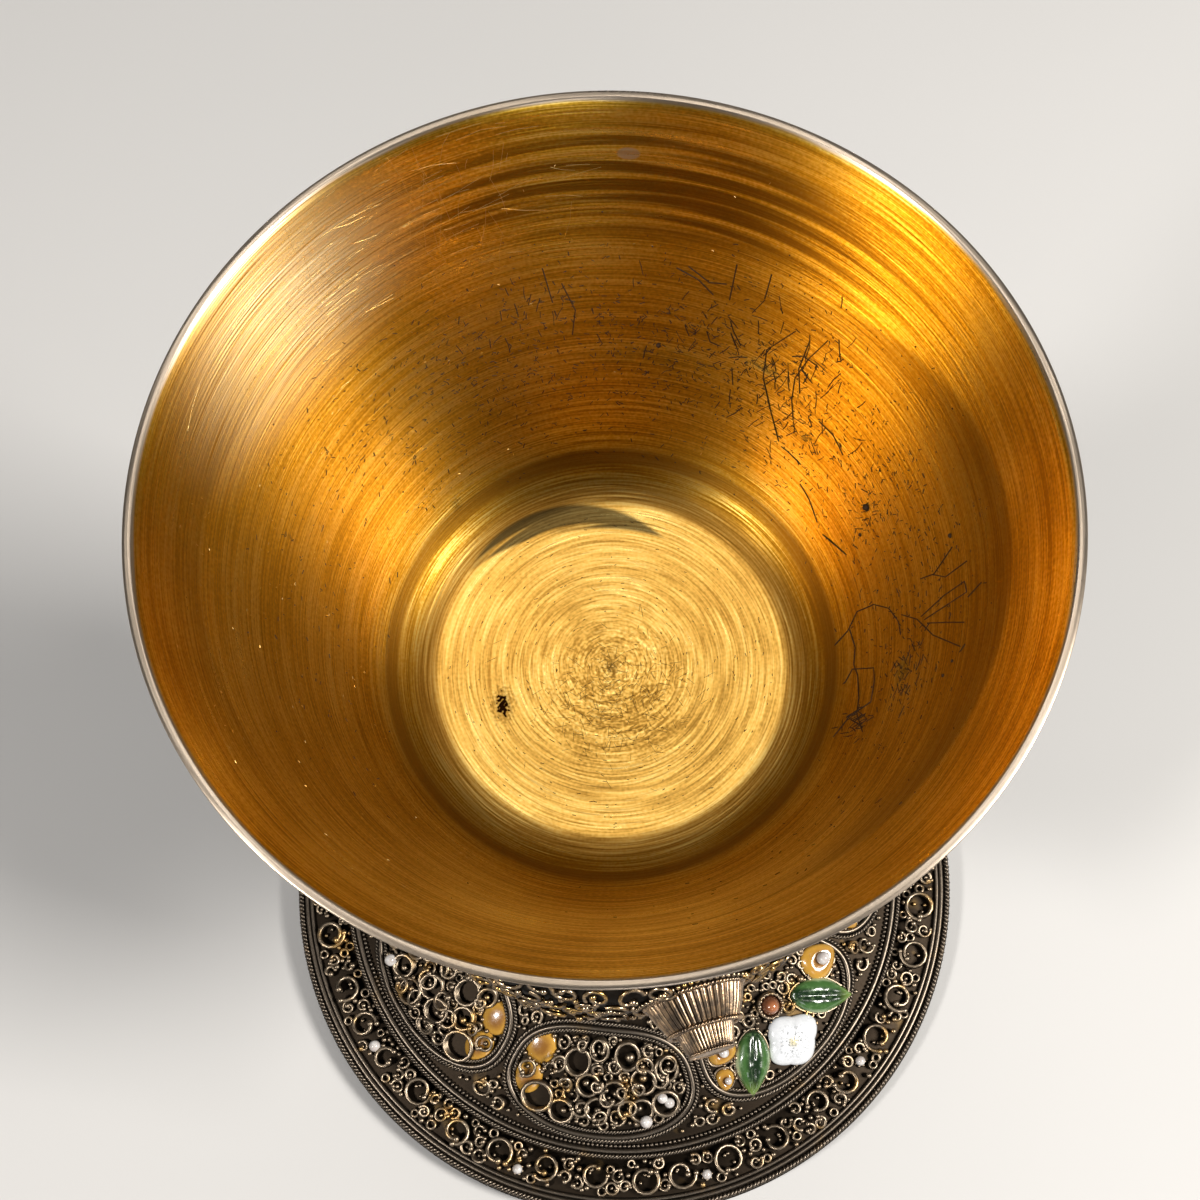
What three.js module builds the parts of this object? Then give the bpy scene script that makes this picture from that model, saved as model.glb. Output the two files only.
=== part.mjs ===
// A chalice: a flared gilt cup in a petalled calyx, on a stem with a big flattened knop and a domed,
// medallioned foot. Millimetres, +Z up, the origin at the centre of the underside of the foot.
// Azimuth 0 is the front, towards -Y, and azimuth grows towards +X.
import * as THREE from "three";
import { mergeVertices } from "three/addons/utils/BufferGeometryUtils.js";

// The stack of pieces along the axis, from the table up.
const FOOT_HEIGHT = 50;
const LOWER_COLLAR_HEIGHT = 28;
const KNOP_HEIGHT = 37;
const UPPER_COLLAR_HEIGHT = 13;
const CALYX_BASE_HEIGHT = 9;
const BOWL_DEPTH = 56;

// The cup. The bowl's inner wall leaves a round corner at the floor and flares to the lip.
const RIM_RADIUS = 50;
const CUP_WALL = 1;
const BOWL_FLOOR_RADIUS = 24;
const BOWL_CORNER_REACH = 4.6;
const BOWL_CORNER_RISE = 2.8;
const BOWL_BELLY_REACH = 6.5;
const BOWL_BELLY_RISE = 8;
const LIP_FLARE_REACH = 9.6;
const LIP_FLARE_DROP = 23;

// The calyx hugs the lower bowl, with its crest cut in pointed petals.
const CALYX_WALL = 1.8;
const CALYX_CREST_HEIGHT = 23;
const CALYX_PETAL_HEIGHT = 6;
const CALYX_PETALS = 8;
const CALYX_SEAT_RADIUS = 21;
const FIT_GAP = 0.3;

// The foot: a flat bearing rim, a scrolled band, a raised ring of wires, and a trumpet-shaped dome.
const FOOT_RADIUS = 63;
const FOOT_WALL = 1.6;
const BEARING_WIDTH = 6;
const EDGE_HEIGHT = 3.4;
const EDGE_WIDTH = 1.8;
const BAND_WIDTH = 8;
const BAND_HEIGHT = 3.9;
const BAND_RELIEF = 0.7;
const BAND_SCROLLS = 28;
const RING_WIDTH = 2.8;
const RING_HEIGHT = 6.8;
const DOME_FOOT_HEIGHT = 5.8;
const DOME_SPREAD = 10.5;
const DOME_SPREAD_RISE = 5;
const DOME_THROAT_HEIGHT = 16;
const DOME_THROAT_REACH = 3.5;
const NECK_RADIUS = 10.5;
const NECK_FLANGE_REACH = 2.5;
const NECK_FLANGE_HEIGHT = 4;

// The stem's collars and the knop.
const STEM_FACE_RADIUS = 11.5;
const STEM_WAIST_RADIUS = 8.5;
const STEM_RING_RADIUS = 14;
const VASE_RADIUS = 12.5;
const CALYX_BASE_RADIUS = 13.5;
const KNOP_RADIUS = 38.5;
const KNOP_LAND_RADIUS = 37.4;

// Four fluted bosses stand out of the knop, each in two steps.
const BOSS_COUNT = 4;
const BOSS_AZIMUTH = 14;
const BOSS_FLUTES = 11;
const BOSS_FLUTE_DEPTH = 0.5;
const BOSS_BASE_RADIUS = 7.9;
const BOSS_STEP_RADIUS = 5.6;
const BOSS_STEP_HEIGHT = 5.2;
const BOSS_TIP_BASE_RADIUS = 4;
const BOSS_TIP_RADIUS = 2.8;
const BOSS_HEIGHT = 8.8;

// The medallions around the dome, each in a strip frame.
const MEDALLION_COUNT = 7;
const MEDALLION_FIRST_AZIMUTH = -8;
const MEDALLION_HALF_DEPTH = 10;
const MEDALLION_SPACING = 1;
const MEDALLION_SQUARENESS = 2.7;
const FRAME_WIDTH = 2;
const FRAME_HEIGHT = 1.1;
const FRAME_CLEARANCE = 0.3;
const FRAME_LIFT = 0.45;
const FILIGREE_LIFT = 0.8;
const FILIGREE_HEIGHT = 0.8;
const FILIGREE_HOLE_RADIUS = 2.6;
const ENAMEL_MEDALLIONS = [1, 2, 4, 5];

// The inlay of an enamel medallion, drawn on an oval of this half width and half depth. Places are x around
// the foot and y outwards from its middle, and the drawing is scaled to the medallion that it fills.
const DRAWING_HALF_WIDTH = 16;
const DRAWING_HALF_DEPTH = 10;
const INLAY_LIFT = 0.7;
const FLOWER = { x: -1.3, y: 3.8, radius: 4.4, height: 2.1, lobes: 5, lobeDepth: 0.14, stretch: 1.1 };
const LEAVES = [
  { name: "left", x: -9.6, y: 3.2, turn: 140, length: 10, width: 5.2, height: 1.7 },
  { name: "right", x: 8.8, y: 3.3, turn: 39, length: 10, width: 5.2, height: 1.7 },
];
const SHELLS = [
  { name: "right", x: 10.2, y: -2.4, turn: 30, length: 7, width: 4, height: 1.6 },
  { name: "left", x: -10, y: -3, turn: 150, length: 5.4, width: 4, height: 1.6 },
  { name: "left_small", x: -13, y: 0.3, turn: 110, length: 3.2, width: 2.4, height: 1.4 },
];
const BEAD = { x: -0.6, y: -3.6, radius: 1.9, height: 2.9 };
const COLLET = { wall: 0.6, spread: 0.4, height: 1.5 };

// How finely the round pieces are faceted.
const ROUND = {
  foot: 2 * BAND_SCROLLS,
  cup: 44,
  calyx: 4 * CALYX_PETALS,
  knop: 40,
  collar: 24,
  boss: 2 * BOSS_FLUTES,
  flower: 3 * FLOWER.lobes,
  bead: 8,
  shell: 8,
  frame: 14,
  filigree: 14,
  hole: 7,
};
const DOME_STEPS = 8;
const BOWL_STEPS = 5;
const CALYX_STEPS = 2;
const KNOP_STEPS = 8;

// Heights of the joints between the pieces, and the radii that follow from the sizes above.
const LOWER_COLLAR_BASE = FOOT_HEIGHT;
const KNOP_BASE = LOWER_COLLAR_BASE + LOWER_COLLAR_HEIGHT;
const UPPER_COLLAR_BASE = KNOP_BASE + KNOP_HEIGHT;
const CALYX_BASE = UPPER_COLLAR_BASE + UPPER_COLLAR_HEIGHT;
const CUP_BASE = CALYX_BASE + CALYX_BASE_HEIGHT;
const BOWL_FLOOR = CUP_BASE + CUP_WALL;
const RING_OUTER_RADIUS = FOOT_RADIUS - EDGE_WIDTH - BAND_WIDTH;
const DOME_FOOT_RADIUS = RING_OUTER_RADIUS - RING_WIDTH;
const MEDALLION_RADIUS = DOME_FOOT_RADIUS - FRAME_CLEARANCE - FRAME_WIDTH / 2 - MEDALLION_HALF_DEPTH;
const MEDALLION_PITCH = (2 * Math.PI) / MEDALLION_COUNT;
const MEDALLION_HALF_ANGLE = MEDALLION_PITCH / 2 - (FRAME_WIDTH + MEDALLION_SPACING) / (2 * MEDALLION_RADIUS);
const MEDALLION_HALF_WIDTH = MEDALLION_HALF_ANGLE * MEDALLION_RADIUS;
const INLAY_UNIT = Math.min(MEDALLION_HALF_WIDTH / DRAWING_HALF_WIDTH, MEDALLION_HALF_DEPTH / DRAWING_HALF_DEPTH);

const GILT = new THREE.MeshStandardMaterial({ color: 0xc08a2a, roughness: 0.3, metalness: 1 });
const SILVER = new THREE.MeshStandardMaterial({ color: 0x6f6760, roughness: 0.4, metalness: 1 });
const DARK_SILVER = new THREE.MeshStandardMaterial({ color: 0x4a443e, roughness: 0.5, metalness: 1 });
const WHITE_ENAMEL = new THREE.MeshStandardMaterial({ color: 0xe8eaec, roughness: 0.15, metalness: 0 });
const GREEN_ENAMEL = new THREE.MeshStandardMaterial({ color: 0x2f5a2c, roughness: 0.12, metalness: 0 });
const OCHRE_ENAMEL = new THREE.MeshStandardMaterial({ color: 0xb9852f, roughness: 0.15, metalness: 0 });
const BROWN_GLASS = new THREE.MeshStandardMaterial({ color: 0x8a5236, roughness: 0.1, metalness: 0 });

const chalice = new THREE.Group();

/** Adds one named piece with its own copy of a finish. */
function addPiece(name, geometry, finish, parent = chalice) {
  const mesh = new THREE.Mesh(geometry, finish.clone());
  mesh.name = name;
  parent.add(mesh);
  return mesh;
}

/** Shares a geometry's vertices, so that its surface is closed. */
function closed(geometry) {
  geometry.deleteAttribute("normal");
  geometry.deleteAttribute("uv");
  const merged = mergeVertices(geometry, 1e-5);
  merged.computeVertexNormals();
  return merged;
}

/** Turns a profile about the Z axis; profileAt gives it, as points of radius and height, at an azimuth. */
function turned(profileAt, segments) {
  const geometry = new THREE.LatheGeometry(profileAt(0), segments);
  const position = geometry.getAttribute("position");
  const rows = position.count / (segments + 1);
  for (let column = 0; column <= segments; column += 1) {
    const azimuth = ((column % segments) * 2 * Math.PI) / segments;
    profileAt(azimuth).forEach((point, row) => {
      const index = column * rows + row;
      position.setXYZ(index, point.x * Math.sin(azimuth), point.y, point.x * Math.cos(azimuth));
    });
  }
  geometry.rotateX(Math.PI / 2);
  return closed(geometry);
}

/** A point of a profile: a radius and a height. */
function at(radius, height) {
  return new THREE.Vector2(radius, height);
}

/** A point of a curve at t, moved along the curve's right-hand normal by an offset. */
function offsetPoint(curve, t, offset) {
  const tangent = curve.getTangent(t);
  return curve.getPoint(t).add(at(tangent.y, -tangent.x).multiplyScalar(offset));
}

/** The angle between an azimuth and the nearest of several evenly spaced ones. */
function angleToNearest(azimuth, first, count) {
  const pitch = (2 * Math.PI) / count;
  const turns = (azimuth - first) / pitch;
  return (turns - Math.round(turns)) * pitch;
}

// The bowl's inner wall, from the edge of the floor to the lip, in heights above the floor.
const cornerTop = at(BOWL_FLOOR_RADIUS + BOWL_CORNER_REACH, BOWL_CORNER_RISE);
const lipInner = at(RIM_RADIUS - CUP_WALL, BOWL_DEPTH);
const bowlCorner = new THREE.QuadraticBezierCurve(
  at(BOWL_FLOOR_RADIUS, 0),
  at(BOWL_FLOOR_RADIUS + 0.6 * BOWL_CORNER_REACH, 0),
  cornerTop,
);
const bowlWall = new THREE.CubicBezierCurve(
  cornerTop,
  at(cornerTop.x + BOWL_BELLY_REACH, BOWL_CORNER_RISE + BOWL_BELLY_RISE),
  at(lipInner.x - LIP_FLARE_REACH, BOWL_DEPTH - LIP_FLARE_DROP),
  lipInner,
);

/** The bowl's section at an offset outwards from its inner wall, up to a share of the wall's length. */
function bowlSection(offset, upTo, steps) {
  const corner = [0, 0.6].map((t) => offsetPoint(bowlCorner, t, offset));
  const wall = [];
  for (let step = 0; step <= steps; step += 1) {
    wall.push(offsetPoint(bowlWall, (upTo * step) / steps, offset));
  }
  return [...corner, ...wall].map((point) => at(point.x, point.y + BOWL_FLOOR));
}

/** The share of the bowl wall's length at which it reaches a height above the floor. */
function wallShareAt(height) {
  let low = 0;
  let high = 1;
  for (let round = 0; round < 30; round += 1) {
    const middle = (low + high) / 2;
    if (bowlWall.getPoint(middle).y < height) low = middle;
    else high = middle;
  }
  return (low + high) / 2;
}

/** The cup: one hollow turned shell with an open bowl. */
function cupGeometry() {
  const outer = bowlSection(CUP_WALL, 1, BOWL_STEPS);
  const inner = bowlSection(0, 1, BOWL_STEPS).reverse();
  const profile = [at(0, CUP_BASE), ...outer, ...inner, at(0, BOWL_FLOOR)];
  return turned(() => profile, ROUND.cup);
}

/** The calyx: a solid base, and a shell around the lower bowl with a crest of petals. */
function calyxGeometry() {
  const innerOffset = CUP_WALL + FIT_GAP;
  const outerOffset = innerOffset + CALYX_WALL;
  const profileAt = (azimuth) => {
    const lobe = Math.abs(Math.cos((CALYX_PETALS * azimuth) / 2));
    const crest = CALYX_CREST_HEIGHT - CALYX_PETAL_HEIGHT * (1 - lobe);
    const share = wallShareAt(crest);
    const outer = bowlSection(outerOffset, share, CALYX_STEPS);
    const inner = bowlSection(innerOffset, share, CALYX_STEPS).reverse();
    return [
      at(0, CALYX_BASE),
      at(CALYX_BASE_RADIUS, CALYX_BASE),
      at(CALYX_BASE_RADIUS + CALYX_WALL, CALYX_BASE + CALYX_BASE_HEIGHT / 3),
      ...outer,
      ...inner,
      at(CALYX_SEAT_RADIUS, CUP_BASE - FIT_GAP),
      at(CALYX_SEAT_RADIUS, CUP_BASE),
      at(0, CUP_BASE),
    ];
  };
  return turned(profileAt, ROUND.calyx);
}

/** A collar of the stem: heights are shares of its own height, between two flat faces. */
function collarGeometry(base, height, faceRadius, rings) {
  const middle = rings.map(([radius, share]) => at(radius, base + share * height));
  const profile = [
    at(0, base),
    at(STEM_FACE_RADIUS, base),
    ...middle,
    at(faceRadius, base + height),
    at(0, base + height),
  ];
  return turned(() => profile, ROUND.collar);
}

/** The knop: a flattened ball with flat poles, and a flat land at the seat of each boss. */
function knopGeometry() {
  const halfHeight = KNOP_HEIGHT / 2;
  const centre = KNOP_BASE + halfHeight;
  const profileAt = (azimuth) => {
    const turn = Math.cos(angleToNearest(azimuth, 0, BOSS_COUNT));
    const profile = [at(0, KNOP_BASE)];
    for (let step = 0; step <= KNOP_STEPS; step += 1) {
      const angle = (step / KNOP_STEPS - 0.5) * Math.PI;
      const rise = Math.sign(angle) * Math.abs(Math.sin(angle)) ** (2 / 3);
      const radius = STEM_FACE_RADIUS + (KNOP_RADIUS - STEM_FACE_RADIUS) * Math.cos(angle);
      profile.push(at(Math.min(radius, KNOP_LAND_RADIUS / turn), centre + halfHeight * rise));
    }
    profile.push(at(0, KNOP_BASE + KNOP_HEIGHT));
    return profile;
  };
  const geometry = turned(profileAt, ROUND.knop);
  geometry.rotateZ(THREE.MathUtils.degToRad(BOSS_AZIMUTH));
  return geometry;
}

/** A boss: two fluted, tapering steps along +Z, with its flat base at zero. */
function bossGeometry() {
  const profileAt = (azimuth) => {
    const flute = BOSS_FLUTE_DEPTH * (0.5 - 0.5 * Math.cos(BOSS_FLUTES * azimuth));
    return [
      at(0, 0),
      at(BOSS_BASE_RADIUS - flute, 0),
      at(BOSS_STEP_RADIUS - flute, BOSS_STEP_HEIGHT),
      at(BOSS_TIP_BASE_RADIUS - flute, BOSS_STEP_HEIGHT),
      at(BOSS_TIP_RADIUS - flute, BOSS_HEIGHT),
      at(0, BOSS_HEIGHT),
    ];
  };
  return turned(profileAt, ROUND.boss);
}

// The dome of the foot, from its edge at the ring up to the neck.
const domeCurve = new THREE.CubicBezierCurve(
  at(DOME_FOOT_RADIUS, DOME_FOOT_HEIGHT),
  at(DOME_FOOT_RADIUS - DOME_SPREAD, DOME_FOOT_HEIGHT + DOME_SPREAD_RISE),
  at(NECK_RADIUS + DOME_THROAT_REACH, DOME_THROAT_HEIGHT),
  at(NECK_RADIUS, FOOT_HEIGHT - NECK_FLANGE_HEIGHT - NECK_FLANGE_REACH),
);

/** Where the dome has a radius: the point there and the unit normal out of the metal. */
function domeAt(radius) {
  let low = 0;
  let high = 1;
  for (let round = 0; round < 30; round += 1) {
    const middle = (low + high) / 2;
    if (domeCurve.getPoint(middle).x > radius) low = middle;
    else high = middle;
  }
  const tangent = domeCurve.getTangent((low + high) / 2);
  return { point: domeCurve.getPoint((low + high) / 2), normal: at(tangent.y, -tangent.x) };
}

/** The foot: a hollow trumpet with a scrolled band inside its edge and a ring around the dome. */
function footGeometry() {
  const bandMiddle = RING_OUTER_RADIUS + BAND_WIDTH / 2;
  const profileAt = (azimuth) => {
    const relief = BAND_RELIEF * Math.cos(BAND_SCROLLS * azimuth);
    const dome = [];
    for (let step = 0; step <= DOME_STEPS; step += 1) dome.push(domeCurve.getPoint(step / DOME_STEPS));
    const hollow = [0.88, 0.65, 0.35, 0].map((t) => offsetPoint(domeCurve, t, -FOOT_WALL));
    return [
      at(0, hollow[0].y),
      ...hollow,
      at(FOOT_RADIUS - BEARING_WIDTH, BAND_HEIGHT - BAND_RELIEF - FOOT_WALL),
      at(FOOT_RADIUS - BEARING_WIDTH, 0),
      at(FOOT_RADIUS, 0),
      at(FOOT_RADIUS, EDGE_HEIGHT),
      at(FOOT_RADIUS - EDGE_WIDTH, EDGE_HEIGHT + EDGE_WIDTH / 3),
      at(bandMiddle, BAND_HEIGHT + relief),
      at(RING_OUTER_RADIUS, BAND_HEIGHT + EDGE_WIDTH / 3),
      at(RING_OUTER_RADIUS - RING_WIDTH / 4, RING_HEIGHT),
      at(DOME_FOOT_RADIUS + RING_WIDTH / 4, RING_HEIGHT),
      ...dome,
      at(NECK_RADIUS + NECK_FLANGE_REACH, FOOT_HEIGHT - NECK_FLANGE_HEIGHT),
      at(NECK_RADIUS + NECK_FLANGE_REACH, FOOT_HEIGHT),
      at(0, FOOT_HEIGHT),
    ];
  };
  return turned(profileAt, ROUND.foot);
}

/** The outline of a medallion on flat paper, x around the foot and y outwards, grown by a margin. */
function medallionOutline(margin, steps) {
  const halfWidth = MEDALLION_HALF_WIDTH + margin;
  const halfDepth = MEDALLION_HALF_DEPTH + margin;
  const power = 2 / MEDALLION_SQUARENESS;
  const points = [];
  for (let step = 0; step < steps; step += 1) {
    const angle = ((step + 0.5) * 2 * Math.PI) / steps;
    const across = Math.sign(Math.cos(angle)) * Math.abs(Math.cos(angle)) ** power;
    const along = Math.sign(Math.sin(angle)) * Math.abs(Math.sin(angle)) ** power;
    points.push(at(halfWidth * across, halfDepth * along));
  }
  return points;
}

/** Lays a flat extrusion on the dome over a gap: x becomes azimuth, y radius, z the height off the metal. */
function laidOnDome(shape, thickness, gap, centreAzimuth) {
  const geometry = new THREE.ExtrudeGeometry(shape, { depth: thickness, bevelEnabled: false });
  const position = geometry.getAttribute("position");
  for (let index = 0; index < position.count; index += 1) {
    const azimuth = centreAzimuth + position.getX(index) / MEDALLION_RADIUS;
    const { point, normal } = domeAt(MEDALLION_RADIUS + position.getY(index));
    const lift = gap + position.getZ(index);
    const radius = point.x + normal.x * lift;
    const height = point.y + normal.y * lift;
    position.setXYZ(index, radius * Math.sin(azimuth), -radius * Math.cos(azimuth), height);
  }
  const merged = closed(geometry);
  merged.index.array.reverse();
  return merged;
}

/** A medallion's frame: a flat strip around its outline. */
function frameGeometry(centreAzimuth) {
  const shape = new THREE.Shape(medallionOutline(FRAME_WIDTH / 2, ROUND.frame));
  shape.holes.push(new THREE.Path(medallionOutline(-FRAME_WIDTH / 2, ROUND.frame)));
  return laidOnDome(shape, FRAME_HEIGHT, FRAME_LIFT, centreAzimuth);
}

/** A pierced filigree plate that fills a medallion: a middle row of round openings. */
function filigreeGeometry(centreAzimuth) {
  const margin = -FRAME_WIDTH / 2 - FRAME_CLEARANCE;
  const shape = new THREE.Shape(medallionOutline(margin, ROUND.filigree));
  const halfWidth = MEDALLION_HALF_WIDTH + margin;
  const places = [-0.62, -0.3, 0, 0.3, 0.62];
  places.forEach((share, index) => {
    const rise = (index % 2 ? 0.38 : -0.2) * MEDALLION_HALF_DEPTH;
    const hole = [];
    for (let step = 0; step < ROUND.hole; step += 1) {
      const angle = (step * 2 * Math.PI) / ROUND.hole;
      const x = share * halfWidth + FILIGREE_HOLE_RADIUS * Math.cos(angle);
      hole.push(at(x, rise + FILIGREE_HOLE_RADIUS * Math.sin(angle)));
    }
    shape.holes.push(new THREE.Path(hole));
  });
  return laidOnDome(shape, FILIGREE_HEIGHT, FILIGREE_LIFT, centreAzimuth);
}

/** Seats a mesh on the dome at a place of a medallion, its +Z out of the metal and +X around the foot. */
function seatOnDome(mesh, centreAzimuth, place, lift) {
  const radius = MEDALLION_RADIUS + place.y * INLAY_UNIT;
  const azimuth = centreAzimuth + (place.x * INLAY_UNIT) / radius;
  const { point, normal } = domeAt(radius);
  const outward = new THREE.Vector3(Math.sin(azimuth), -Math.cos(azimuth), 0);
  const around = new THREE.Vector3(Math.cos(azimuth), Math.sin(azimuth), 0);
  const up = outward.clone().multiplyScalar(normal.x).add(new THREE.Vector3(0, 0, normal.y));
  const side = new THREE.Vector3().crossVectors(up, around);
  mesh.quaternion.setFromRotationMatrix(new THREE.Matrix4().makeBasis(around, side, up));
  mesh.position.copy(outward.multiplyScalar(point.x).setZ(point.y).addScaledVector(up, lift));
}

/** A lobed enamel flower with a raised rim of petals and a small eye, its base at zero. */
function flowerGeometry() {
  const profileAt = (azimuth) => {
    const radius = FLOWER.radius * (1 + FLOWER.lobeDepth * Math.cos(FLOWER.lobes * azimuth));
    return [
      at(0, 0),
      at(radius, 0),
      at(radius, 0.5 * FLOWER.height),
      at(0.6 * radius, FLOWER.height),
      at(0, 0.8 * FLOWER.height),
    ];
  };
  const geometry = turned(profileAt, ROUND.flower);
  geometry.scale(FLOWER.stretch * INLAY_UNIT, INLAY_UNIT, 1);
  return geometry;
}

/** A pointed leaf along +X with a domed face, its base at zero. */
function leafGeometry(leaf) {
  const half = leaf.length / 2;
  const shape = new THREE.Shape();
  shape.moveTo(-half, 0);
  shape.quadraticCurveTo(-0.1 * half, -leaf.width, half, 0);
  shape.quadraticCurveTo(-0.1 * half, leaf.width, -half, 0);
  const bevel = 0.45 * leaf.height;
  const geometry = new THREE.ExtrudeGeometry(shape, {
    depth: leaf.height - bevel,
    curveSegments: 4,
    bevelEnabled: false,
  });
  const position = geometry.getAttribute("position");
  for (let index = 0; index < position.count; index += 1) {
    const top = position.getZ(index) > 0;
    const tip = Math.abs(position.getX(index)) / half;
    position.setZ(index, top ? leaf.height - bevel * tip : 0);
  }
  geometry.scale(INLAY_UNIT, INLAY_UNIT, 1);
  return closed(geometry);
}

/** A low oval shell along +X, fuller at one end, its base at zero. */
function shellGeometry(shell) {
  const profile = [at(0, 0), at(1, 0), at(0.75, 0.7), at(0, 1)];
  const geometry = turned(() => profile, ROUND.shell);
  const position = geometry.getAttribute("position");
  for (let index = 0; index < position.count; index += 1) {
    const taper = 1 - 0.25 * position.getX(index);
    position.setY(index, position.getY(index) * taper);
  }
  geometry.scale((INLAY_UNIT * shell.length) / 2, (INLAY_UNIT * shell.width) / 2, shell.height);
  return geometry;
}

/** A round glass bead with its flat base at zero. */
function beadGeometry() {
  const radius = BEAD.radius * INLAY_UNIT;
  const profile = [
    at(0, 0),
    at(radius, 0),
    at(radius, 0.5 * BEAD.height),
    at(0.65 * radius, 0.88 * BEAD.height),
    at(0, BEAD.height),
  ];
  return turned(() => profile, ROUND.bead);
}

/** The collet around a bead: a short tube that spreads a little at its foot. */
function colletGeometry() {
  const inner = (BEAD.radius * INLAY_UNIT + FIT_GAP) / Math.cos(Math.PI / ROUND.bead);
  const outer = inner + COLLET.wall;
  const profile = [
    at(inner, 0),
    at(outer + COLLET.spread, 0),
    at(outer, COLLET.height),
    at(inner, COLLET.height),
    at(inner, 0),
  ];
  return turned(() => profile, ROUND.bead);
}

/** Fills one enamel medallion with its flower, leaves, shells, and bead in a collet. */
function addInlay(number, centreAzimuth) {
  const flower = addPiece(`flower_${number}`, flowerGeometry(), WHITE_ENAMEL);
  seatOnDome(flower, centreAzimuth, FLOWER, INLAY_LIFT);
  const turnedPieces = [
    ...LEAVES.map((leaf) => ["leaf", leaf, leafGeometry, GREEN_ENAMEL]),
    ...SHELLS.map((shell) => ["shell", shell, shellGeometry, OCHRE_ENAMEL]),
  ];
  for (const [kind, place, shapeOf, finish] of turnedPieces) {
    const geometry = shapeOf(place);
    geometry.rotateZ(THREE.MathUtils.degToRad(-place.turn));
    const mesh = addPiece(`${kind}_${place.name}_${number}`, geometry, finish);
    seatOnDome(mesh, centreAzimuth, place, INLAY_LIFT);
  }
  seatOnDome(addPiece(`bead_${number}`, beadGeometry(), BROWN_GLASS), centreAzimuth, BEAD, INLAY_LIFT);
  seatOnDome(addPiece(`collet_${number}`, colletGeometry(), SILVER), centreAzimuth, BEAD, INLAY_LIFT);
}

addPiece("foot", footGeometry(), DARK_SILVER);
addPiece(
  "lower_collar",
  collarGeometry(LOWER_COLLAR_BASE, LOWER_COLLAR_HEIGHT, STEM_FACE_RADIUS, [
    [STEM_RING_RADIUS, 0.1],
    [STEM_RING_RADIUS, 0.2],
    [STEM_WAIST_RADIUS, 0.28],
    [VASE_RADIUS, 0.62],
    [STEM_WAIST_RADIUS, 0.82],
    [STEM_FACE_RADIUS, 0.92],
  ]),
  DARK_SILVER,
);
addPiece("knop", knopGeometry(), DARK_SILVER);
addPiece(
  "upper_collar",
  collarGeometry(UPPER_COLLAR_BASE, UPPER_COLLAR_HEIGHT, CALYX_BASE_RADIUS, [
    [STEM_FACE_RADIUS, 0.15],
    [STEM_WAIST_RADIUS, 0.32],
    [STEM_WAIST_RADIUS, 0.5],
    [STEM_RING_RADIUS, 0.72],
    [STEM_RING_RADIUS, 0.86],
  ]),
  DARK_SILVER,
);
addPiece("calyx", calyxGeometry(), DARK_SILVER);
addPiece("cup", cupGeometry(), GILT);

for (let boss = 0; boss < BOSS_COUNT; boss += 1) {
  const azimuth = THREE.MathUtils.degToRad(BOSS_AZIMUTH) + (boss * 2 * Math.PI) / BOSS_COUNT;
  const mesh = addPiece(`knop_boss_${boss + 1}`, bossGeometry(), SILVER);
  const outward = new THREE.Vector3(Math.sin(azimuth), -Math.cos(azimuth), 0);
  const around = new THREE.Vector3(Math.cos(azimuth), Math.sin(azimuth), 0);
  const side = new THREE.Vector3().crossVectors(outward, around);
  mesh.quaternion.setFromRotationMatrix(new THREE.Matrix4().makeBasis(around, side, outward));
  mesh.position.copy(outward.multiplyScalar(KNOP_LAND_RADIUS + FIT_GAP));
  mesh.position.z = KNOP_BASE + KNOP_HEIGHT / 2;
}

let filigreeNumber = 0;
let inlayNumber = 0;
for (let index = 0; index < MEDALLION_COUNT; index += 1) {
  const azimuth = THREE.MathUtils.degToRad(MEDALLION_FIRST_AZIMUTH) + index * MEDALLION_PITCH;
  addPiece(`medallion_frame_${index + 1}`, frameGeometry(azimuth), SILVER);
  if (ENAMEL_MEDALLIONS.includes(index)) {
    inlayNumber += 1;
    addInlay(inlayNumber, azimuth);
  } else {
    filigreeNumber += 1;
    addPiece(`filigree_${filigreeNumber}`, filigreeGeometry(azimuth), SILVER);
  }
}

export default chalice;
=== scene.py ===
"""The looks of a silver-gilt chalice: a flared cup over a filigree knop and a medallioned foot.

Everything is in metres, +Z up, with the origin under the middle of the foot. Azimuth 0 is the front,
towards -Y, and azimuth grows towards +X.
"""
from __future__ import annotations

import bisect
import logging
import math
import random
import sys
from dataclasses import dataclass, field
from enum import Enum
from typing import Callable, Iterable, Sequence, Union

import bmesh
import bpy
from mathutils import Matrix, Vector, geometry

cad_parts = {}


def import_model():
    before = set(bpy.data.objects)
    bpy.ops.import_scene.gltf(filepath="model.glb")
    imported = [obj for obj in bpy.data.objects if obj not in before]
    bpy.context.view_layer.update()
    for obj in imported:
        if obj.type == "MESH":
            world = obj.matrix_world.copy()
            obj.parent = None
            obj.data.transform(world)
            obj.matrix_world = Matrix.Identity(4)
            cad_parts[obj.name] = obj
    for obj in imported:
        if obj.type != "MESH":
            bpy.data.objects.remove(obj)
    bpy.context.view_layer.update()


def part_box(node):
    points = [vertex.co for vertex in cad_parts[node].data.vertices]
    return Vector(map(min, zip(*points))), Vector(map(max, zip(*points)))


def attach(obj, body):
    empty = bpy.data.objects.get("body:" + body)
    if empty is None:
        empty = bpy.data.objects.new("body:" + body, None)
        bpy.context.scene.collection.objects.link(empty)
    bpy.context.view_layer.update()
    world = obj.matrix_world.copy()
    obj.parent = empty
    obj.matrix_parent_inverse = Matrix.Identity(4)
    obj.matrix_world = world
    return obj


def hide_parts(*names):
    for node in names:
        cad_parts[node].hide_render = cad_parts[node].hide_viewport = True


MM = 0.001
FULL_TURN = 2 * math.pi
BODY = "root"
Colour = tuple[float, float, float]
Point = tuple[float, float]
Mesh = bmesh.types.BMesh
Material = bpy.types.Material
log = logging.getLogger("chalice")


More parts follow.
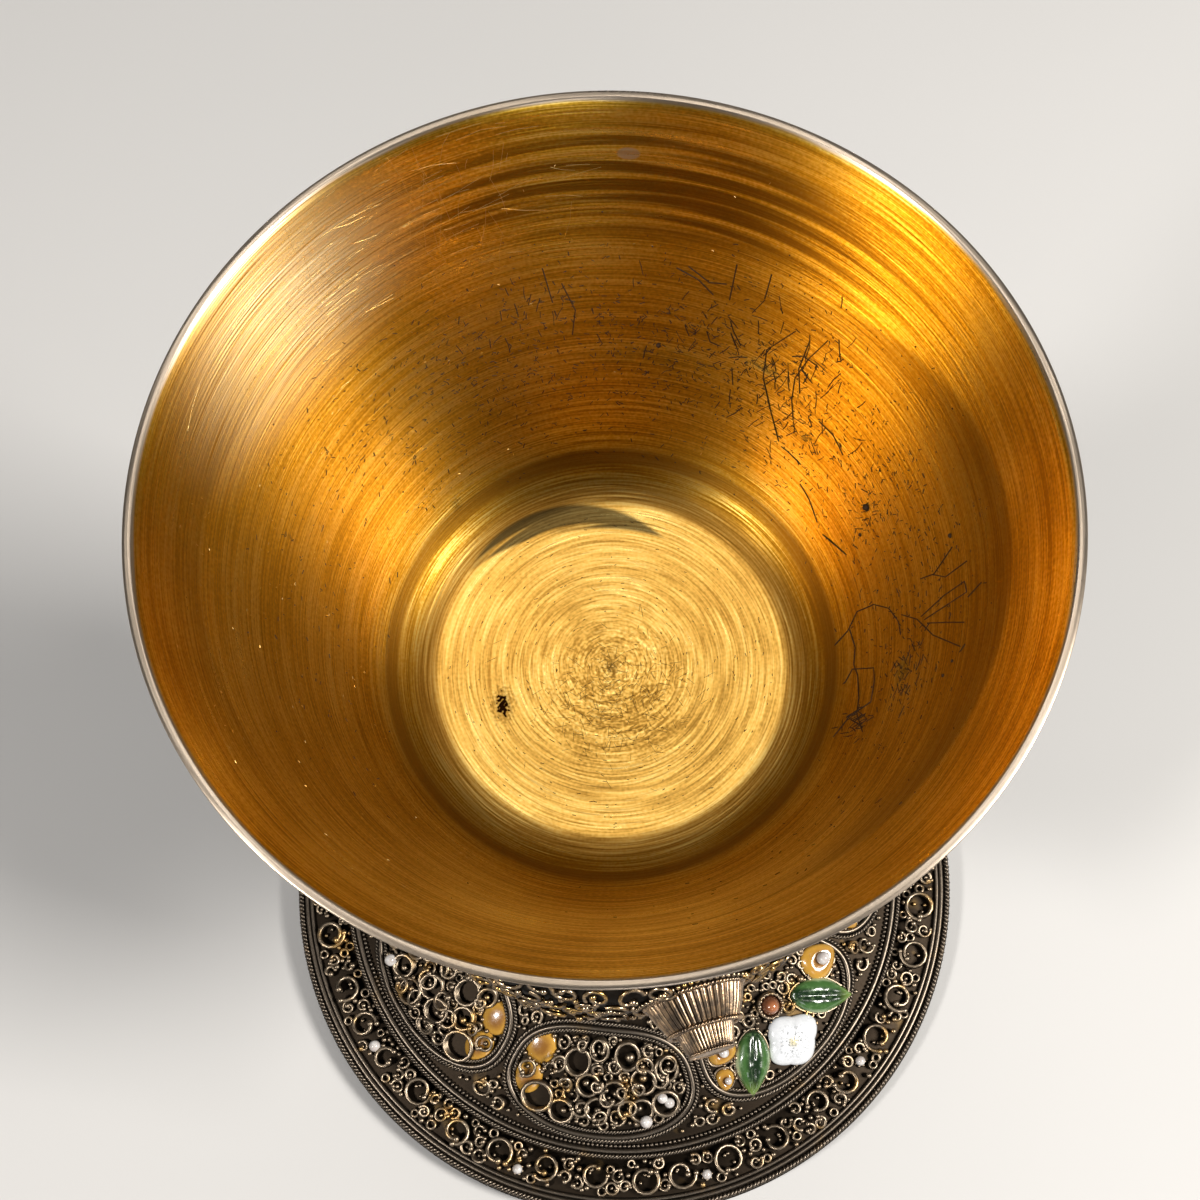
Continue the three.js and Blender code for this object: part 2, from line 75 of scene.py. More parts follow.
# Shader graphs


class Shade:
    """An output socket of a shader graph that takes part in arithmetic."""

    def __init__(self, graph: "ShaderGraph", socket: bpy.types.NodeSocket) -> None:
        """Wraps a socket of a graph."""
        self.graph = graph
        self.socket = socket

    def _math(self, operation: str, first: "Input", second: "Input" = 0.0) -> "Shade":
        """Adds a Math node on two inputs."""
        return self.graph.node("ShaderNodeMath", {"operation": operation}, {0: first, 1: second})

    def __add__(self, other: "Input") -> "Shade":
        """Adds a value."""
        return self._math("ADD", self, other)

    __radd__ = __add__

    def __mul__(self, other: "Input") -> "Shade":
        """Multiplies by a value."""
        return self._math("MULTIPLY", self, other)

    __rmul__ = __mul__

    def __sub__(self, other: "Input") -> "Shade":
        """Subtracts a value."""
        return self._math("SUBTRACT", self, other)

    def __rsub__(self, other: "Input") -> "Shade":
        """Subtracts this from a value."""
        return self._math("SUBTRACT", other, self)

    def __truediv__(self, other: "Input") -> "Shade":
        """Divides by a value."""
        return self._math("DIVIDE", self, other)

    def __pow__(self, other: "Input") -> "Shade":
        """Raises to a power."""
        return self._math("POWER", self, other)

    def larger(self, other: "Input") -> "Shade":
        """The larger of this and a value."""
        return self._math("MAXIMUM", self, other)

    def rise(self, low: float, high: float) -> "Shade":
        """A smooth step from 0 at low to 1 at high; low may be over high.

        Args:
            low: The value that gives 0.
            high: The value that gives 1.

        Returns:
            The stepped value, held within 0 and 1.
        """
        settings = {"interpolation_type": "SMOOTHSTEP", "clamp": True}
        inputs = {"Value": self, "From Min": low, "From Max": high}
        return self.graph.node("ShaderNodeMapRange", settings, inputs)

    def between(self, low: float, high: float) -> "Shade":
        """A value of 0 to 1 stretched to run from low to high."""
        return self * (high - low) + low


Input = Union[Shade, float, tuple]


class ShaderGraph:
    """A material under construction, with one method that adds nodes."""

    def __init__(self, name: str) -> None:
        """Starts a material with an empty graph."""
        self.material = bpy.data.materials.new(name)
        self.material.use_nodes = True
        self.tree = self.material.node_tree
        self.tree.nodes.clear()

    def node(self, kind: str, settings: dict, inputs: dict, output: Union[int, str] = 0) -> Shade:
        """Adds a node, sets it and feeds its sockets.

        Args:
            kind: The node's type name.
            settings: Its properties; "stops" are a colour ramp's places and colours.
            inputs: Values or shades by socket name or number.
            output: The name or number of the output to use.

        Returns:
            The chosen output.
        """
        made = self.tree.nodes.new(kind)
        for key, value in settings.items():
            if key == "stops":
                self._set_stops(made.color_ramp, value)
            else:
                setattr(made, key, value)
        for key, value in inputs.items():
            if isinstance(value, Shade):
                self.tree.links.new(value.socket, made.inputs[key])
            else:
                made.inputs[key].default_value = value
        return Shade(self, made.outputs[output])

    @staticmethod
    def _set_stops(ramp: bpy.types.ColorRamp, stops: Sequence[tuple[float, Colour]]) -> None:
        """Gives a ramp its stops, each a place and a colour."""
        while len(ramp.elements) < len(stops):
            ramp.elements.new(1.0)
        for element, (place, colour) in zip(ramp.elements, stops):
            element.position = place
            element.color = (*colour, 1.0)

    def ramp(self, factor: Shade, stops: Sequence[tuple[float, Colour]]) -> Shade:
        """Colours a factor by the stops of a ramp."""
        return self.node("ShaderNodeValToRGB", {"stops": stops}, {0: factor})

    def mix(self, factor: Input, first: Input, second: Input) -> Shade:
        """Mixes two colours by a factor."""
        inputs = {0: factor, 6: self._opaque(first), 7: self._opaque(second)}
        return self.node("ShaderNodeMix", {"data_type": "RGBA"}, inputs, 2)

    @staticmethod
    def _opaque(colour: Input) -> Input:
        """A colour with its alpha of 1, or a shade as it is."""
        return colour if isinstance(colour, Shade) else (*colour, 1.0)

    def vector(self, operation: str, first: Input, second: Input) -> Shade:
        """Adds a Vector Math node on two vectors."""
        return self.node("ShaderNodeVectorMath", {"operation": operation}, {0: first, 1: second})

    def length(self, vector: Shade) -> Shade:
        """The length of a vector."""
        return self.node("ShaderNodeVectorMath", {"operation": "LENGTH"}, {0: vector}, 1)

    def combine(self, x: Input, y: Input, z: Input) -> Shade:
        """Makes a vector of three values."""
        return self.node("ShaderNodeCombineXYZ", {}, {0: x, 1: y, 2: z})

    def split(self, vector: Shade) -> tuple[Shade, Shade, Shade]:
        """Takes a vector apart."""
        made = self.node("ShaderNodeSeparateXYZ", {}, {0: vector}).socket.node
        return Shade(self, made.outputs[0]), Shade(self, made.outputs[1]), Shade(self, made.outputs[2])

    def millimetres(self) -> Shade:
        """The object's own coordinates, in millimetres."""
        place = self.node("ShaderNodeTexCoord", {}, {}, "Object")
        return self.node("ShaderNodeVectorMath", {"operation": "SCALE"}, {0: place, "Scale": 1 / MM})

    def unrolled(self) -> Shade:
        """The piece's own UV map."""
        return self.node("ShaderNodeTexCoord", {}, {}, "UV")

    def noise(self, vector: Shade, scale: float, detail: float = 2.0, rough: float = 0.5) -> Shade:
        """Noise of 0 to 1 over a vector."""
        inputs = {"Vector": vector, "Scale": scale, "Detail": detail, "Roughness": rough}
        return self.node("ShaderNodeTexNoise", {}, inputs)

    def bump(self, height: Shade, distance: float) -> Shade:
        """A normal bent by a height, whose full range stands for a distance in metres."""
        return self.node("ShaderNodeBump", {}, {"Height": height, "Distance": distance}, "Normal")

    def finish(self, sockets: dict) -> Material:
        """Closes the graph with a Principled shader.

        Args:
            sockets: Values or shades by the shader's socket names.

        Returns:
            The finished material.
        """
        shader = self.node("ShaderNodeBsdfPrincipled", {}, sockets)
        output = self.tree.nodes.new("ShaderNodeOutputMaterial")
        self.tree.links.new(shader.socket, output.inputs["Surface"])
        return self.material


# Finishes


@dataclass(frozen=True)
class Mark:
    """A stain, a chip, or a zone of painted highlight or painted shade on the bowl's wall, laid out on the
    wall unrolled.

    Azimuth is in degrees and depth a share of the way from lip to floor; lengths are in millimetres.
    """

    azimuth: float
    depth: float
    length: float
    width: float
    strength: float


@dataclass(frozen=True)
class Gilding:
    """Worn gilding inside the bowl: turned lines, tarnish and stains on amber gold, with a painted
    highlight, painted shade and a painted reflection.
    """

    lip_height: float
    floor_height: float
    floor_radius: float
    deep: Colour = (0.42, 0.205, 0.010)
    warm: Colour = (0.70, 0.400, 0.034)
    pale: Colour = (0.95, 0.690, 0.180)
    # the floor's tones carry the wall's turned lines and tarnish, painted paler as a painted reflection of
    # the light from above
    floor_tones: tuple[Colour, ...] = ((0.62, 0.33, 0.055), (0.92, 0.53, 0.11), (0.97, 0.67, 0.20))
    # pale gold of the painted highlight on the upper left wall
    brushed_highlight: Colour = (1.00, 0.900, 0.640)
    # umber of the painted shade, and of the halo round the floor's speck
    umber: Colour = (0.20, 0.090, 0.008)
    # olive of the painted reflection on the far side of the floor
    olive: Colour = (0.066, 0.050, 0.020)
    stain: Colour = (0.030, 0.012, 0.004)
    silver: Colour = (0.66, 0.54, 0.42)

    STAINS = (
        Mark(146, 0.593, 7.0, 2.4, 0.85),
        Mark(132, 0.698, 2.6, 2.2, 0.75),
        Mark(221, 0.92, 3.2, 2.4, 0.65),
        Mark(76, 0.66, 6.0, 5.0, 0.7),
        Mark(168, 0.66, 30.0, 7.0, 0.28),
    )
    # painted highlight: a pale zone on the upper left wall, under the lip
    BRUSHED_HIGHLIGHT = Mark(231, 0.17, 46.0, 32.0, 0.95)
    # painted shade: a streaky umber band on the far wall under the lip
    SHADED = Mark(168, 0.19, 70.0, 20.0, 0.85)
    CHIP = Mark(173.5, 0.125, 2.6, 1.9, 0.9)
    SPECK = (-14.3, -4.4)
    WALL_STOPS = (0.40, 0.50, 0.61)
    FLOOR_STOPS = (0.36, 0.50, 0.64)

    def material(self) -> Material:
        """Builds the gilding.

        Returns:
            The material of the inside of the cup.
        """
        graph = ShaderGraph("worn_gilding")
        place = graph.millimetres()
        x, y, z = graph.split(place)
        radius = ((x * x + y * y) ** 0.5).larger(0.6)
        side, far, along = x / radius, y / radius, radius + z
        floor_z, lip_z = self.floor_height / MM, self.lip_height / MM
        lines = self._turned(graph, side, far, along, 2.4, 3.7, 1.0)
        bands = self._turned(graph, side, far, along, 1.2, 0.6, 1.0)
        ridges = self._turned(graph, side, far, along, 3.6, 3.0, 0.0)
        grain = graph.noise(place, 2.6, 0.0)
        clouds = graph.noise(place, 0.07, 1.0, 0.6)
        on_floor = z.rise(floor_z + 1.4, floor_z + 0.35)
        matted = graph.length(graph.combine(x, y + 4.0, 0.0)).rise(13.0, 2.0) * on_floor
        tone = lines * 0.44 + bands * 0.22 + clouds * 0.20 + grain * (matted * 0.3 + 0.14) - matted * 0.19
        wall = graph.ramp(tone, list(zip(self.WALL_STOPS, (self.deep, self.warm, self.pale))))
        # painted reflection: the floor's ramp is paler than the wall's, for the light from above
        floor = graph.ramp(tone, list(zip(self.FLOOR_STOPS, self.floor_tones)))
        flat = graph.unrolled()
        # painted highlight: the upper left wall is painted pale, streaked by the turned lines
        brushed_highlight = self._mark(graph, flat, self.BRUSHED_HIGHLIGHT, 0.15) * lines.rise(0.22, 0.54)
        wall = graph.mix(brushed_highlight, wall, self.brushed_highlight)
        # painted shade: a streaky umber band on the far wall under the lip
        shaded = self._mark(graph, flat, self.SHADED, 0.5) * bands.rise(0.62, 0.42)
        wall = graph.mix(shaded, wall, self.umber)
        # painted shade beside the edges of the sheen, under the lip
        wall = graph.mix(self._sheen_edge_shade(side, far, z, lip_z), wall, self.umber)
        colour = graph.mix(on_floor, wall, floor)
        # painted shade in the corner where the floor turns up into the wall
        groove = self._groove(radius, z, floor_z, lines)
        colour = graph.mix(groove, colour, self.umber)
        # painted reflection: a dark olive crescent on the far side of the floor
        crescent = self._reflection_crescent(graph, x, y) * on_floor * bands.rise(0.2, 0.4)
        colour = graph.mix(crescent, colour, self.olive)
        speck = graph.length(graph.combine(x - self.SPECK[0], (y - self.SPECK[1]) * 0.6, 0.0))
        ragged = speck + (grain - 0.5) * 1.6
        colour = graph.mix(ragged.rise(1.9, 0.9) * on_floor * 0.5, colour, self.umber)
        dirt = self._stains(graph, flat).larger(ragged.rise(0.85, 0.5) * on_floor)
        colour = graph.mix(dirt, colour, self.stain)
        edge = (z + clouds * 1.1).rise(lip_z - 0.05, lip_z + 0.45)
        bare = edge.larger(self._mark(graph, flat, self.CHIP, 0.75))
        colour = graph.mix(bare, colour, self.silver)
        sockets = {
            "Base Color": colour,
            "Metallic": 1.0,
            "Roughness": tone.between(0.54, 0.12) + dirt * 0.3 + groove * 0.2,
            "Anisotropic": 0.7,
            "Anisotropic Rotation": 0.25,
            "Normal": graph.bump(ridges, 0.05 * MM),
        }
        return graph.finish(sockets)

    @staticmethod
    def _turned(
        graph: ShaderGraph, side: Shade, far: Shade, along: Shade, around: float, fine: float, detail: float
    ) -> Shade:
        """Noise drawn out around the axis, as a lathe leaves it.

        Args:
            graph: The graph to add to.
            side: The sine of the azimuth.
            far: Minus its cosine.
            along: The place along the profile, in millimetres.
            around: How often the lines change around the axis.
            fine: How many lines there are in a millimetre, roughly.
            detail: How many finer noises are added.

        Returns:
            The noise, from 0 to 1.
        """
        return graph.noise(graph.combine(side * around, far * around, along * fine), 1.0, detail, 0.6)

    @staticmethod
    def _sheen_edge_shade(side: Shade, far: Shade, z: Shade, lip_z: float) -> Shade:
        """Painted shade: the darker zones beside the edge of the sheen, under the lip on both sides."""
        above = z - lip_z + 12.0 + far * far * 12.0
        right = side.rise(0.25, 0.85) * above.rise(0.9, -0.9) * above.rise(-13.0, -1.0) * 0.6
        left = (side * -1.0).rise(0.80, 0.97) * above.rise(-0.9, 0.9) * 0.35
        return right.larger(left)

    def _groove(self, radius: Shade, z: Shade, floor_z: float, lines: Shade) -> Shade:
        """The amber ring around the floor and the dark line that closes it: painted shade in the corner
        where the floor turns up.
        """
        inner = self.floor_radius / MM
        low = z.rise(floor_z + 8.0, floor_z + 2.5)
        ring = radius.rise(inner - 0.3, inner + 1.3) * low * lines.between(1.05, 0.35)
        gap = radius - inner - 5.9
        return ring.larger((gap * gap).rise(1.7, 0.1) * 0.92)

    @staticmethod
    def _reflection_crescent(graph: ShaderGraph, x: Shade, y: Shade) -> Shade:
        """A painted reflection: a dark olive crescent at the far side of the floor."""
        under = graph.length(graph.combine(x + 2.0, y + 8.0, 0.0))
        over = graph.length(graph.combine(x + 4.0, y - 7.0, 0.0))
        return under.rise(27.0, 27.6) * over.rise(16.1, 15.4) * 0.88

    def _stains(self, graph: ShaderGraph, flat: Shade) -> Shade:
        """The bowl's blots, with ragged edges."""
        shake = graph.noise(flat, 900.0, 2.0, 0.75)
        moved = graph.combine(shake * 3.0 * MM - 1.5 * MM, shake * 2.4 * MM - 1.2 * MM, 0.0)
        shaken = graph.vector("ADD", flat, moved)
        total = self._mark(graph, shaken, self.STAINS[0], 0.2)
        for mark in self.STAINS[1:]:
            total = total.larger(self._mark(graph, shaken, mark, 0.2))
        return total * shake.rise(0.28, 0.60)

    @staticmethod
    def _mark(graph: ShaderGraph, flat: Shade, mark: Mark, core: float) -> Shade:
        """One mark's strength over the unrolled wall.

        Args:
            graph: The graph to add to.
            flat: The unrolled wall, in metres.
            mark: The mark.
            core: The share of the mark that has its full strength.

        Returns:
            The mark's cover, from 0 to 1.
        """
        shifted = graph.vector("SUBTRACT", flat, (*Bowl.unrolled(mark.azimuth, mark.depth), 0.0))
        local = graph.vector("MULTIPLY", shifted, (2 / (mark.length * MM), 2 / (mark.width * MM), 0.0))
        return graph.length(local).rise(1.0, core) * mark.strength


@dataclass(frozen=True)
class ScratchedMetal:
    """The bottom of a scratch: black with dirt, or bright and fresh."""

    name: str
    tone: Colour
    metallic: float
    roughness: float

    def material(self) -> Material:
        """Builds the metal of the scratches.

        Returns:
            The material.
        """
        graph = ShaderGraph(self.name)
        cloud = graph.noise(graph.millimetres(), 0.5, 1.0)
        colour = graph.mix(cloud.rise(0.3, 0.7) * 0.5, self.tone, tuple(0.5 * c for c in self.tone))
        return graph.finish({"Base Color": colour, "Metallic": self.metallic, "Roughness": self.roughness})


@dataclass(frozen=True)
class ToplitRubbedSilver:
    """Oxidised silver, dark with oxide, painted lighter on faces that look up as light from above falls,
    with rubbed patches and traces of gilding.
    """

    name: str
    dark: Colour
    bright: Colour
    gilt_share: float
    roughness: tuple[float, float]
    gilt: Colour = (0.62, 0.38, 0.13)
    low: float = 0.0
    high: float = 0.9
    grain: float = 0.02

    def material(self) -> Material:
        """Builds the silver; faces that look up are painted lighter, as lit from above, and noise adds
        rubbed patches.

        Returns:
            The material.
        """
        graph = ShaderGraph(self.name)
        place = graph.millimetres()
        normal = graph.node("ShaderNodeNewGeometry", {}, {}, "Normal")
        up = graph.split(normal)[2]
        patches = graph.noise(place, 0.16, 2.0, 0.65)
        fine = graph.noise(place, 2.2, 2.0, 0.7)
        # painted light: faces that look up are lighter; the noise adds rubbed patches
        rub_and_toplight = (up + (fine - 0.5) * 0.7 + (patches - 0.5) * 0.6).rise(self.low, self.high)
        warm = patches.rise(0.62 - 0.3 * self.gilt_share, 0.80 - 0.3 * self.gilt_share)
        metal = graph.mix(warm * min(1.0, 2.2 * self.gilt_share), self.bright, self.gilt)
        sockets = {
            "Base Color": graph.mix(rub_and_toplight, self.dark, metal),
            "Metallic": 1.0,
            "Roughness": rub_and_toplight.between(*self.roughness) + (fine - 0.5) * 0.16,
            "Normal": graph.bump(fine, self.grain * MM),
        }
        return graph.finish(sockets)


@dataclass(frozen=True)
class FlutedGilt:
    """Brown gilding of the bosses, dark between the pleats. The UV map's U is the height in a pleat."""

    dark: Colour = (0.018, 0.012, 0.008)
    gilt: Colour = (0.47, 0.325, 0.20)
    brown: Colour = (0.20, 0.148, 0.105)

    def material(self) -> Material:
        """Builds the boss's metal.

        Returns:
            The material.
        """
        graph = ShaderGraph("gilt_pleats")
        place = graph.millimetres()
        pleat = graph.split(graph.unrolled())[0]
        cloud = graph.noise(place, 0.7, 2.0)
        fine = graph.noise(place, 3.0, 1.0)
        gilt = graph.mix(cloud.rise(0.40, 0.62), self.gilt, self.brown)
        sockets = {
            "Base Color": graph.mix((pleat + (fine - 0.5) * 0.3).rise(0.25, 0.75), self.dark, gilt),
            "Metallic": 1.0,
            "Roughness": pleat.between(0.6, 0.26),
            "Normal": graph.bump(fine, 0.02 * MM),
        }
        return graph.finish(sockets)


@dataclass(frozen=True)
class PolishedSilver:
    """Smooth silver of the cup's outside, a little smoky, with fine turned lines."""

    tone: Colour = (0.42, 0.345, 0.27)
    shade: Colour = (0.27, 0.22, 0.17)

    def material(self) -> Material:
        """Builds the smooth silver.

        Returns:
            The material.
        """
        graph = ShaderGraph("smoky_silver")
        place = graph.millimetres()
        x, y, z = graph.split(place)
        lines = graph.noise(graph.combine(x * 0.04, y * 0.04, z * 5.0), 1.0, 3.0, 0.6)
        clouds = graph.noise(place, 0.05, 3.0, 0.55)
        tarnish = (clouds + lines * 0.25).rise(0.45, 0.85)
        sockets = {
            "Base Color": graph.mix(tarnish, self.tone, self.shade),
            "Metallic": 1.0,
            "Roughness": tarnish.between(0.20, 0.38),
            "Normal": graph.bump(lines, 0.012 * MM),
        }
        return graph.finish(sockets)


class EnamelKind(Enum):
    """The enamels and glasses of the inlay, each with its two tones and the name of its slot."""

    WHITE = ((0.80, 0.82, 0.85), (0.50, 0.52, 0.54), "white_enamel")
    GREEN = ((0.055, 0.14, 0.034), (0.008, 0.026, 0.008), "green_enamel")
    OCHRE = ((0.62, 0.33, 0.05), (0.28, 0.12, 0.02), "ochre_enamel")
    BROWN = ((0.42, 0.15, 0.06), (0.14, 0.045, 0.02), "brown_glass")


@dataclass(frozen=True)
class Enamel:
    """Glossy enamel. The piece's UV map runs from 0 to 1 along it and across it."""

    kind: EnamelKind

    def material(self) -> Material:
        """Builds the enamel.

        Returns:
            The material.
        """
        graph = ShaderGraph(self.kind.value[2])
        light, dark, _ = self.kind.value
        place = graph.millimetres()
        along, across, _ = graph.split(graph.unrolled())
        cloud = graph.noise(place, 0.9, 4.0, 0.65)
        middle = graph.length(graph.combine(along - 0.5, across - 0.5, 0.0))
        if self.kind is EnamelKind.WHITE:
            specks = graph.noise(place, 2.6, 3.0, 0.7).rise(0.53, 0.60)
            colour = graph.mix(cloud.rise(0.35, 0.8) * 0.35, light, dark)
            colour = graph.mix(middle.rise(0.14, 0.02) * 0.7, colour, (0.72, 0.60, 0.22))
            colour = graph.mix(specks * middle.rise(0.42, 0.16) * 0.8, colour, (0.16, 0.17, 0.18))
        elif self.kind is EnamelKind.GREEN:
            rib = (across - 0.5) * (across - 0.5) * 4.0 + (cloud - 0.5) * 0.16
            colour = graph.mix(rib.rise(0.30, 0.02), light, dark)
            colour = graph.mix(rib.rise(0.55, 0.90), colour, (0.46, 0.56, 0.34))
            colour = graph.mix(along.rise(0.70, 0.98) * 0.55, colour, (0.30, 0.45, 0.08))
            colour = graph.mix(cloud.rise(0.50, 0.75) * 0.5, colour, (0.20, 0.33, 0.14))
        elif self.kind is EnamelKind.OCHRE:
            # painted shade: the ochre darkens towards the dished middle, round the pearl
            colour = graph.mix(middle.rise(0.12, 0.46) + (cloud - 0.5) * 0.6, dark, light)
        else:
            # painted light and shade: the glass bead is lighter in its middle and darker towards its rim
            colour = graph.mix(middle.rise(0.10, 0.44), light, dark)
        sockets = {
            "Base Color": colour,
            "Roughness": cloud.between(0.16, 0.34),
            "Coat Weight": 1.0,
            "Coat Roughness": 0.05,
            "Normal": graph.bump(cloud, 0.05 * MM),
        }
        return graph.finish(sockets)


@dataclass(frozen=True)
class Pearl:
    """Seed pearls, milky with a soft shine."""

    tone: Colour = (0.78, 0.76, 0.74)
    shade: Colour = (0.56, 0.50, 0.47)

    def material(self) -> Material:
        """Builds the pearl.

        Returns:
            The material.
        """
        graph = ShaderGraph("seed_pearl")
        cloud = graph.noise(graph.millimetres(), 0.8, 3.0)
        colour = graph.mix(cloud.rise(0.35, 0.7), self.shade, self.tone)
        sockets = {"Base Color": colour, "Roughness": 0.22, "Coat Weight": 0.8, "Coat Roughness": 0.12}
        return graph.finish(sockets)


@dataclass(frozen=True)
class Backdrop:
    """The pale matt floor."""

    tone: Colour = (0.66, 0.65, 0.64)

    def material(self) -> Material:
        """Builds the floor's paint.

        Returns:
            The material.
        """
        graph = ShaderGraph("pale_floor")
        cloud = graph.noise(graph.millimetres(), 0.01, 3.0)
        colour = graph.mix(cloud, self.tone, tuple(0.96 * c for c in self.tone))
        return graph.finish({"Base Color": colour, "Roughness": 0.7})


# Making meshes


@dataclass
class Run:
    """One length of wire: its points, and its radius in millimetres; a closed one joins its ends."""

    points: list[Vector]
    radius: float
    closed: bool = False


Rail = list[tuple[Vector, Vector]]
Lay = Callable[[float, float, float], Vector]
Ball = tuple[Vector, float]
Circle = tuple[float, float, float]
Opening = Callable[[float, float, float], bool]
Shape = Callable[[Vector], Vector]
MOST_BALLS = 24
TWIST_STEPS = 5


def angles(count: int) -> list[float]:
    """Even angles around a full turn, in radians."""
    return [FULL_TURN * k / count for k in range(count)]


def ellipse(half_width: float, half_height: float, middle: float, count: int) -> list[Point]:
    """A closed flat path around an ellipse whose middle is shifted up."""
    return [(half_width * math.sin(t), half_height * math.cos(t) + middle) for t in angles(count)]


def curve_points(start: Point, leave: Point, arrive: Point, end: Point, count: int) -> list[Vector]:
    """Points along a cubic curve in a profile.

    Args:
        start: The first point, a radius and a height.
        leave: The handle of the first point.
        arrive: The handle of the last point.
        end: The last point.
        count: How many points to give.

    Returns:
        The points, as radius and height.
    """
    return geometry.interpolate_bezier(*(Vector(p) for p in (start, leave, arrive, end)), count)


def moved_out(points: Sequence[Vector], offset: float) -> list[Vector]:
    """A profile moved along its right-hand normal, point by point."""
    moved = []
    for index, point in enumerate(points):
        before = points[max(index - 1, 0)]
        after = points[min(index + 1, len(points) - 1)]
        tangent = (after - before).normalized()
        moved.append(point + Vector((tangent.y, -tangent.x)) * offset)
    return moved


def radius_at(profile: Sequence[Vector], height: float) -> float:
    """The radius of a rising profile at a height."""
    for first, second in zip(profile, profile[1:]):
        if first.y <= height <= second.y:
            share = (height - first.y) / max(1e-9, second.y - first.y)
            return first.x + (second.x - first.x) * share
    return profile[-1].x if height > profile[-1].y else profile[0].x


def polar(radius: float, azimuth: float, height: float) -> Vector:
    """A point by its distance from the axis, its azimuth in radians and its height."""
    return Vector((radius * math.sin(azimuth), -radius * math.cos(azimuth), height))


def facing_out(azimuth: float, normal: Vector, place: Vector) -> Matrix:
    """A place with X around the axis, Z along an outward normal, and Y across the two."""
    around = Vector((math.cos(azimuth), math.sin(azimuth), 0.0))
    made = Matrix((around, normal.cross(around), normal)).transposed().to_4x4()
    made.translation = place
    return made


def turn(profile: Sequence[Sequence[float]], segments: int) -> Mesh:
    """Spins a profile about the Z axis into a closed body.

    Args:
        profile: Points of radius and height; it starts and ends on the axis, or closes on itself.
        segments: How many steps the turn has.

    Returns:
        The new mesh, with its faces outwards.
    """
    mesh = bmesh.new()
    corners = [mesh.verts.new((0.0, -radius, height)) for radius, height in profile]
    edges = [mesh.edges.new(pair) for pair in zip(corners, corners[1:])]
    about = {"cent": (0, 0, 0), "axis": (0, 0, 1), "angle": FULL_TURN}
    bmesh.ops.spin(mesh, geom=corners + edges, steps=segments, use_merge=True, **about)
    bmesh.ops.remove_doubles(mesh, verts=mesh.verts, dist=1e-6)
    bmesh.ops.recalc_face_normals(mesh, faces=mesh.faces)
    return mesh


def add_mesh(target: Mesh, part: Mesh, place: Matrix = Matrix.Identity(4)) -> None:
    """Adds a mesh to another and frees it.

    Args:
        target: The mesh that grows.
        part: The mesh that is added.
        place: The added mesh's place.
    """
    carrier = bpy.data.meshes.new("carrier")
    part.to_mesh(carrier)
    part.free()
    carrier.transform(place)
    target.from_mesh(carrier)
    bpy.data.meshes.remove(carrier)


def ball_mesh(balls: Sequence[Ball], around: int) -> Mesh:
    """Makes small balls, by halves so that no mesh grows a ball at a time.

    Args:
        balls: Centres, and radii in millimetres.
        around: The segments around each ball.

    Returns:
        The mesh of all of them.
    """
    if len(balls) > MOST_BALLS:
        half = len(balls) // 2
        mesh = ball_mesh(balls[:half], around)
        add_mesh(mesh, ball_mesh(balls[half:], around))
        return mesh
    mesh = bmesh.new()
    facets = {"u_segments": around, "v_segments": around // 2 + 1}
    for centre, radius in balls:
        bmesh.ops.create_uvsphere(mesh, radius=radius * MM, matrix=Matrix.Translation(centre), **facets)
    return mesh


def add_wires(target: Mesh, runs: Iterable[Run], roundness: int = 1) -> None:
    """Adds lengths of round wire to a mesh.

    Args:
        target: The mesh to add to.
        runs: The lengths of wire.
        roundness: 0 for four-sided wire, and two sides more for each step.
    """
    curve = bpy.data.curves.new("wire", "CURVE")
    curve.dimensions = "3D"
    curve.bevel_depth = MM
    curve.bevel_resolution = roundness
    curve.use_fill_caps = True
    for run in runs:
        spline = curve.splines.new("POLY")
        spline.points.add(len(run.points) - 1)
        spline.points.foreach_set("co", [value for p in run.points for value in (*p, 1.0)])
        spline.points.foreach_set("radius", [run.radius] * len(run.points))
        spline.use_cyclic_u = run.closed
    holder = bpy.data.objects.new("wire", curve)
    bpy.context.collection.objects.link(holder)
    made = bpy.data.meshes.new_from_object(holder.evaluated_get(bpy.context.evaluated_depsgraph_get()))
    target.from_mesh(made)
    bpy.data.objects.remove(holder)
    bpy.data.curves.remove(curve)
    bpy.data.meshes.remove(made)


def rounded(shape: Shape, around: int = 32, rings: int = 16) -> Mesh:
    """A closed form drawn out of a ball.

    Args:
        shape: Gives each point of the unit ball its new place.
        around: The segments around the ball.
        rings: The rings of the ball.

    Returns:
        The form, with a UV map that shows the unit ball from above.
    """
    mesh = bmesh.new()
    bmesh.ops.create_uvsphere(mesh, u_segments=around, v_segments=rings, radius=1.0)
    layer = mesh.loops.layers.uv.new("unrolled")
    for face in mesh.faces:
        for corner in face.loops:
            corner[layer].uv = (0.5 + corner.vert.co.x / 2, 0.5 + corner.vert.co.y / 2)
    for vertex in mesh.verts:
        vertex.co = shape(vertex.co.copy())
    return mesh


def ring_rail(radius: float, height: float, count: int = 180) -> Rail:
    """A ring about the axis, with its normals up."""
    return [(polar(radius, angle, height), Vector((0, 0, 1))) for angle in angles(count)]


def laid_rail(lay: Lay, path: Iterable[Point], lift: float) -> Rail:
    """A flat path laid on a surface, with the surface's normals."""
    rail = []
    for x, y in path:
        point = lay(x, y, lift)
        rail.append((point, (lay(x, y, lift + 1) - point).normalized()))
    return rail


def loop(rail: Rail, radius: float) -> Run:
    """A closed wire along a rail, by its radius in millimetres."""
    return Run([point for point, _ in rail], radius, True)


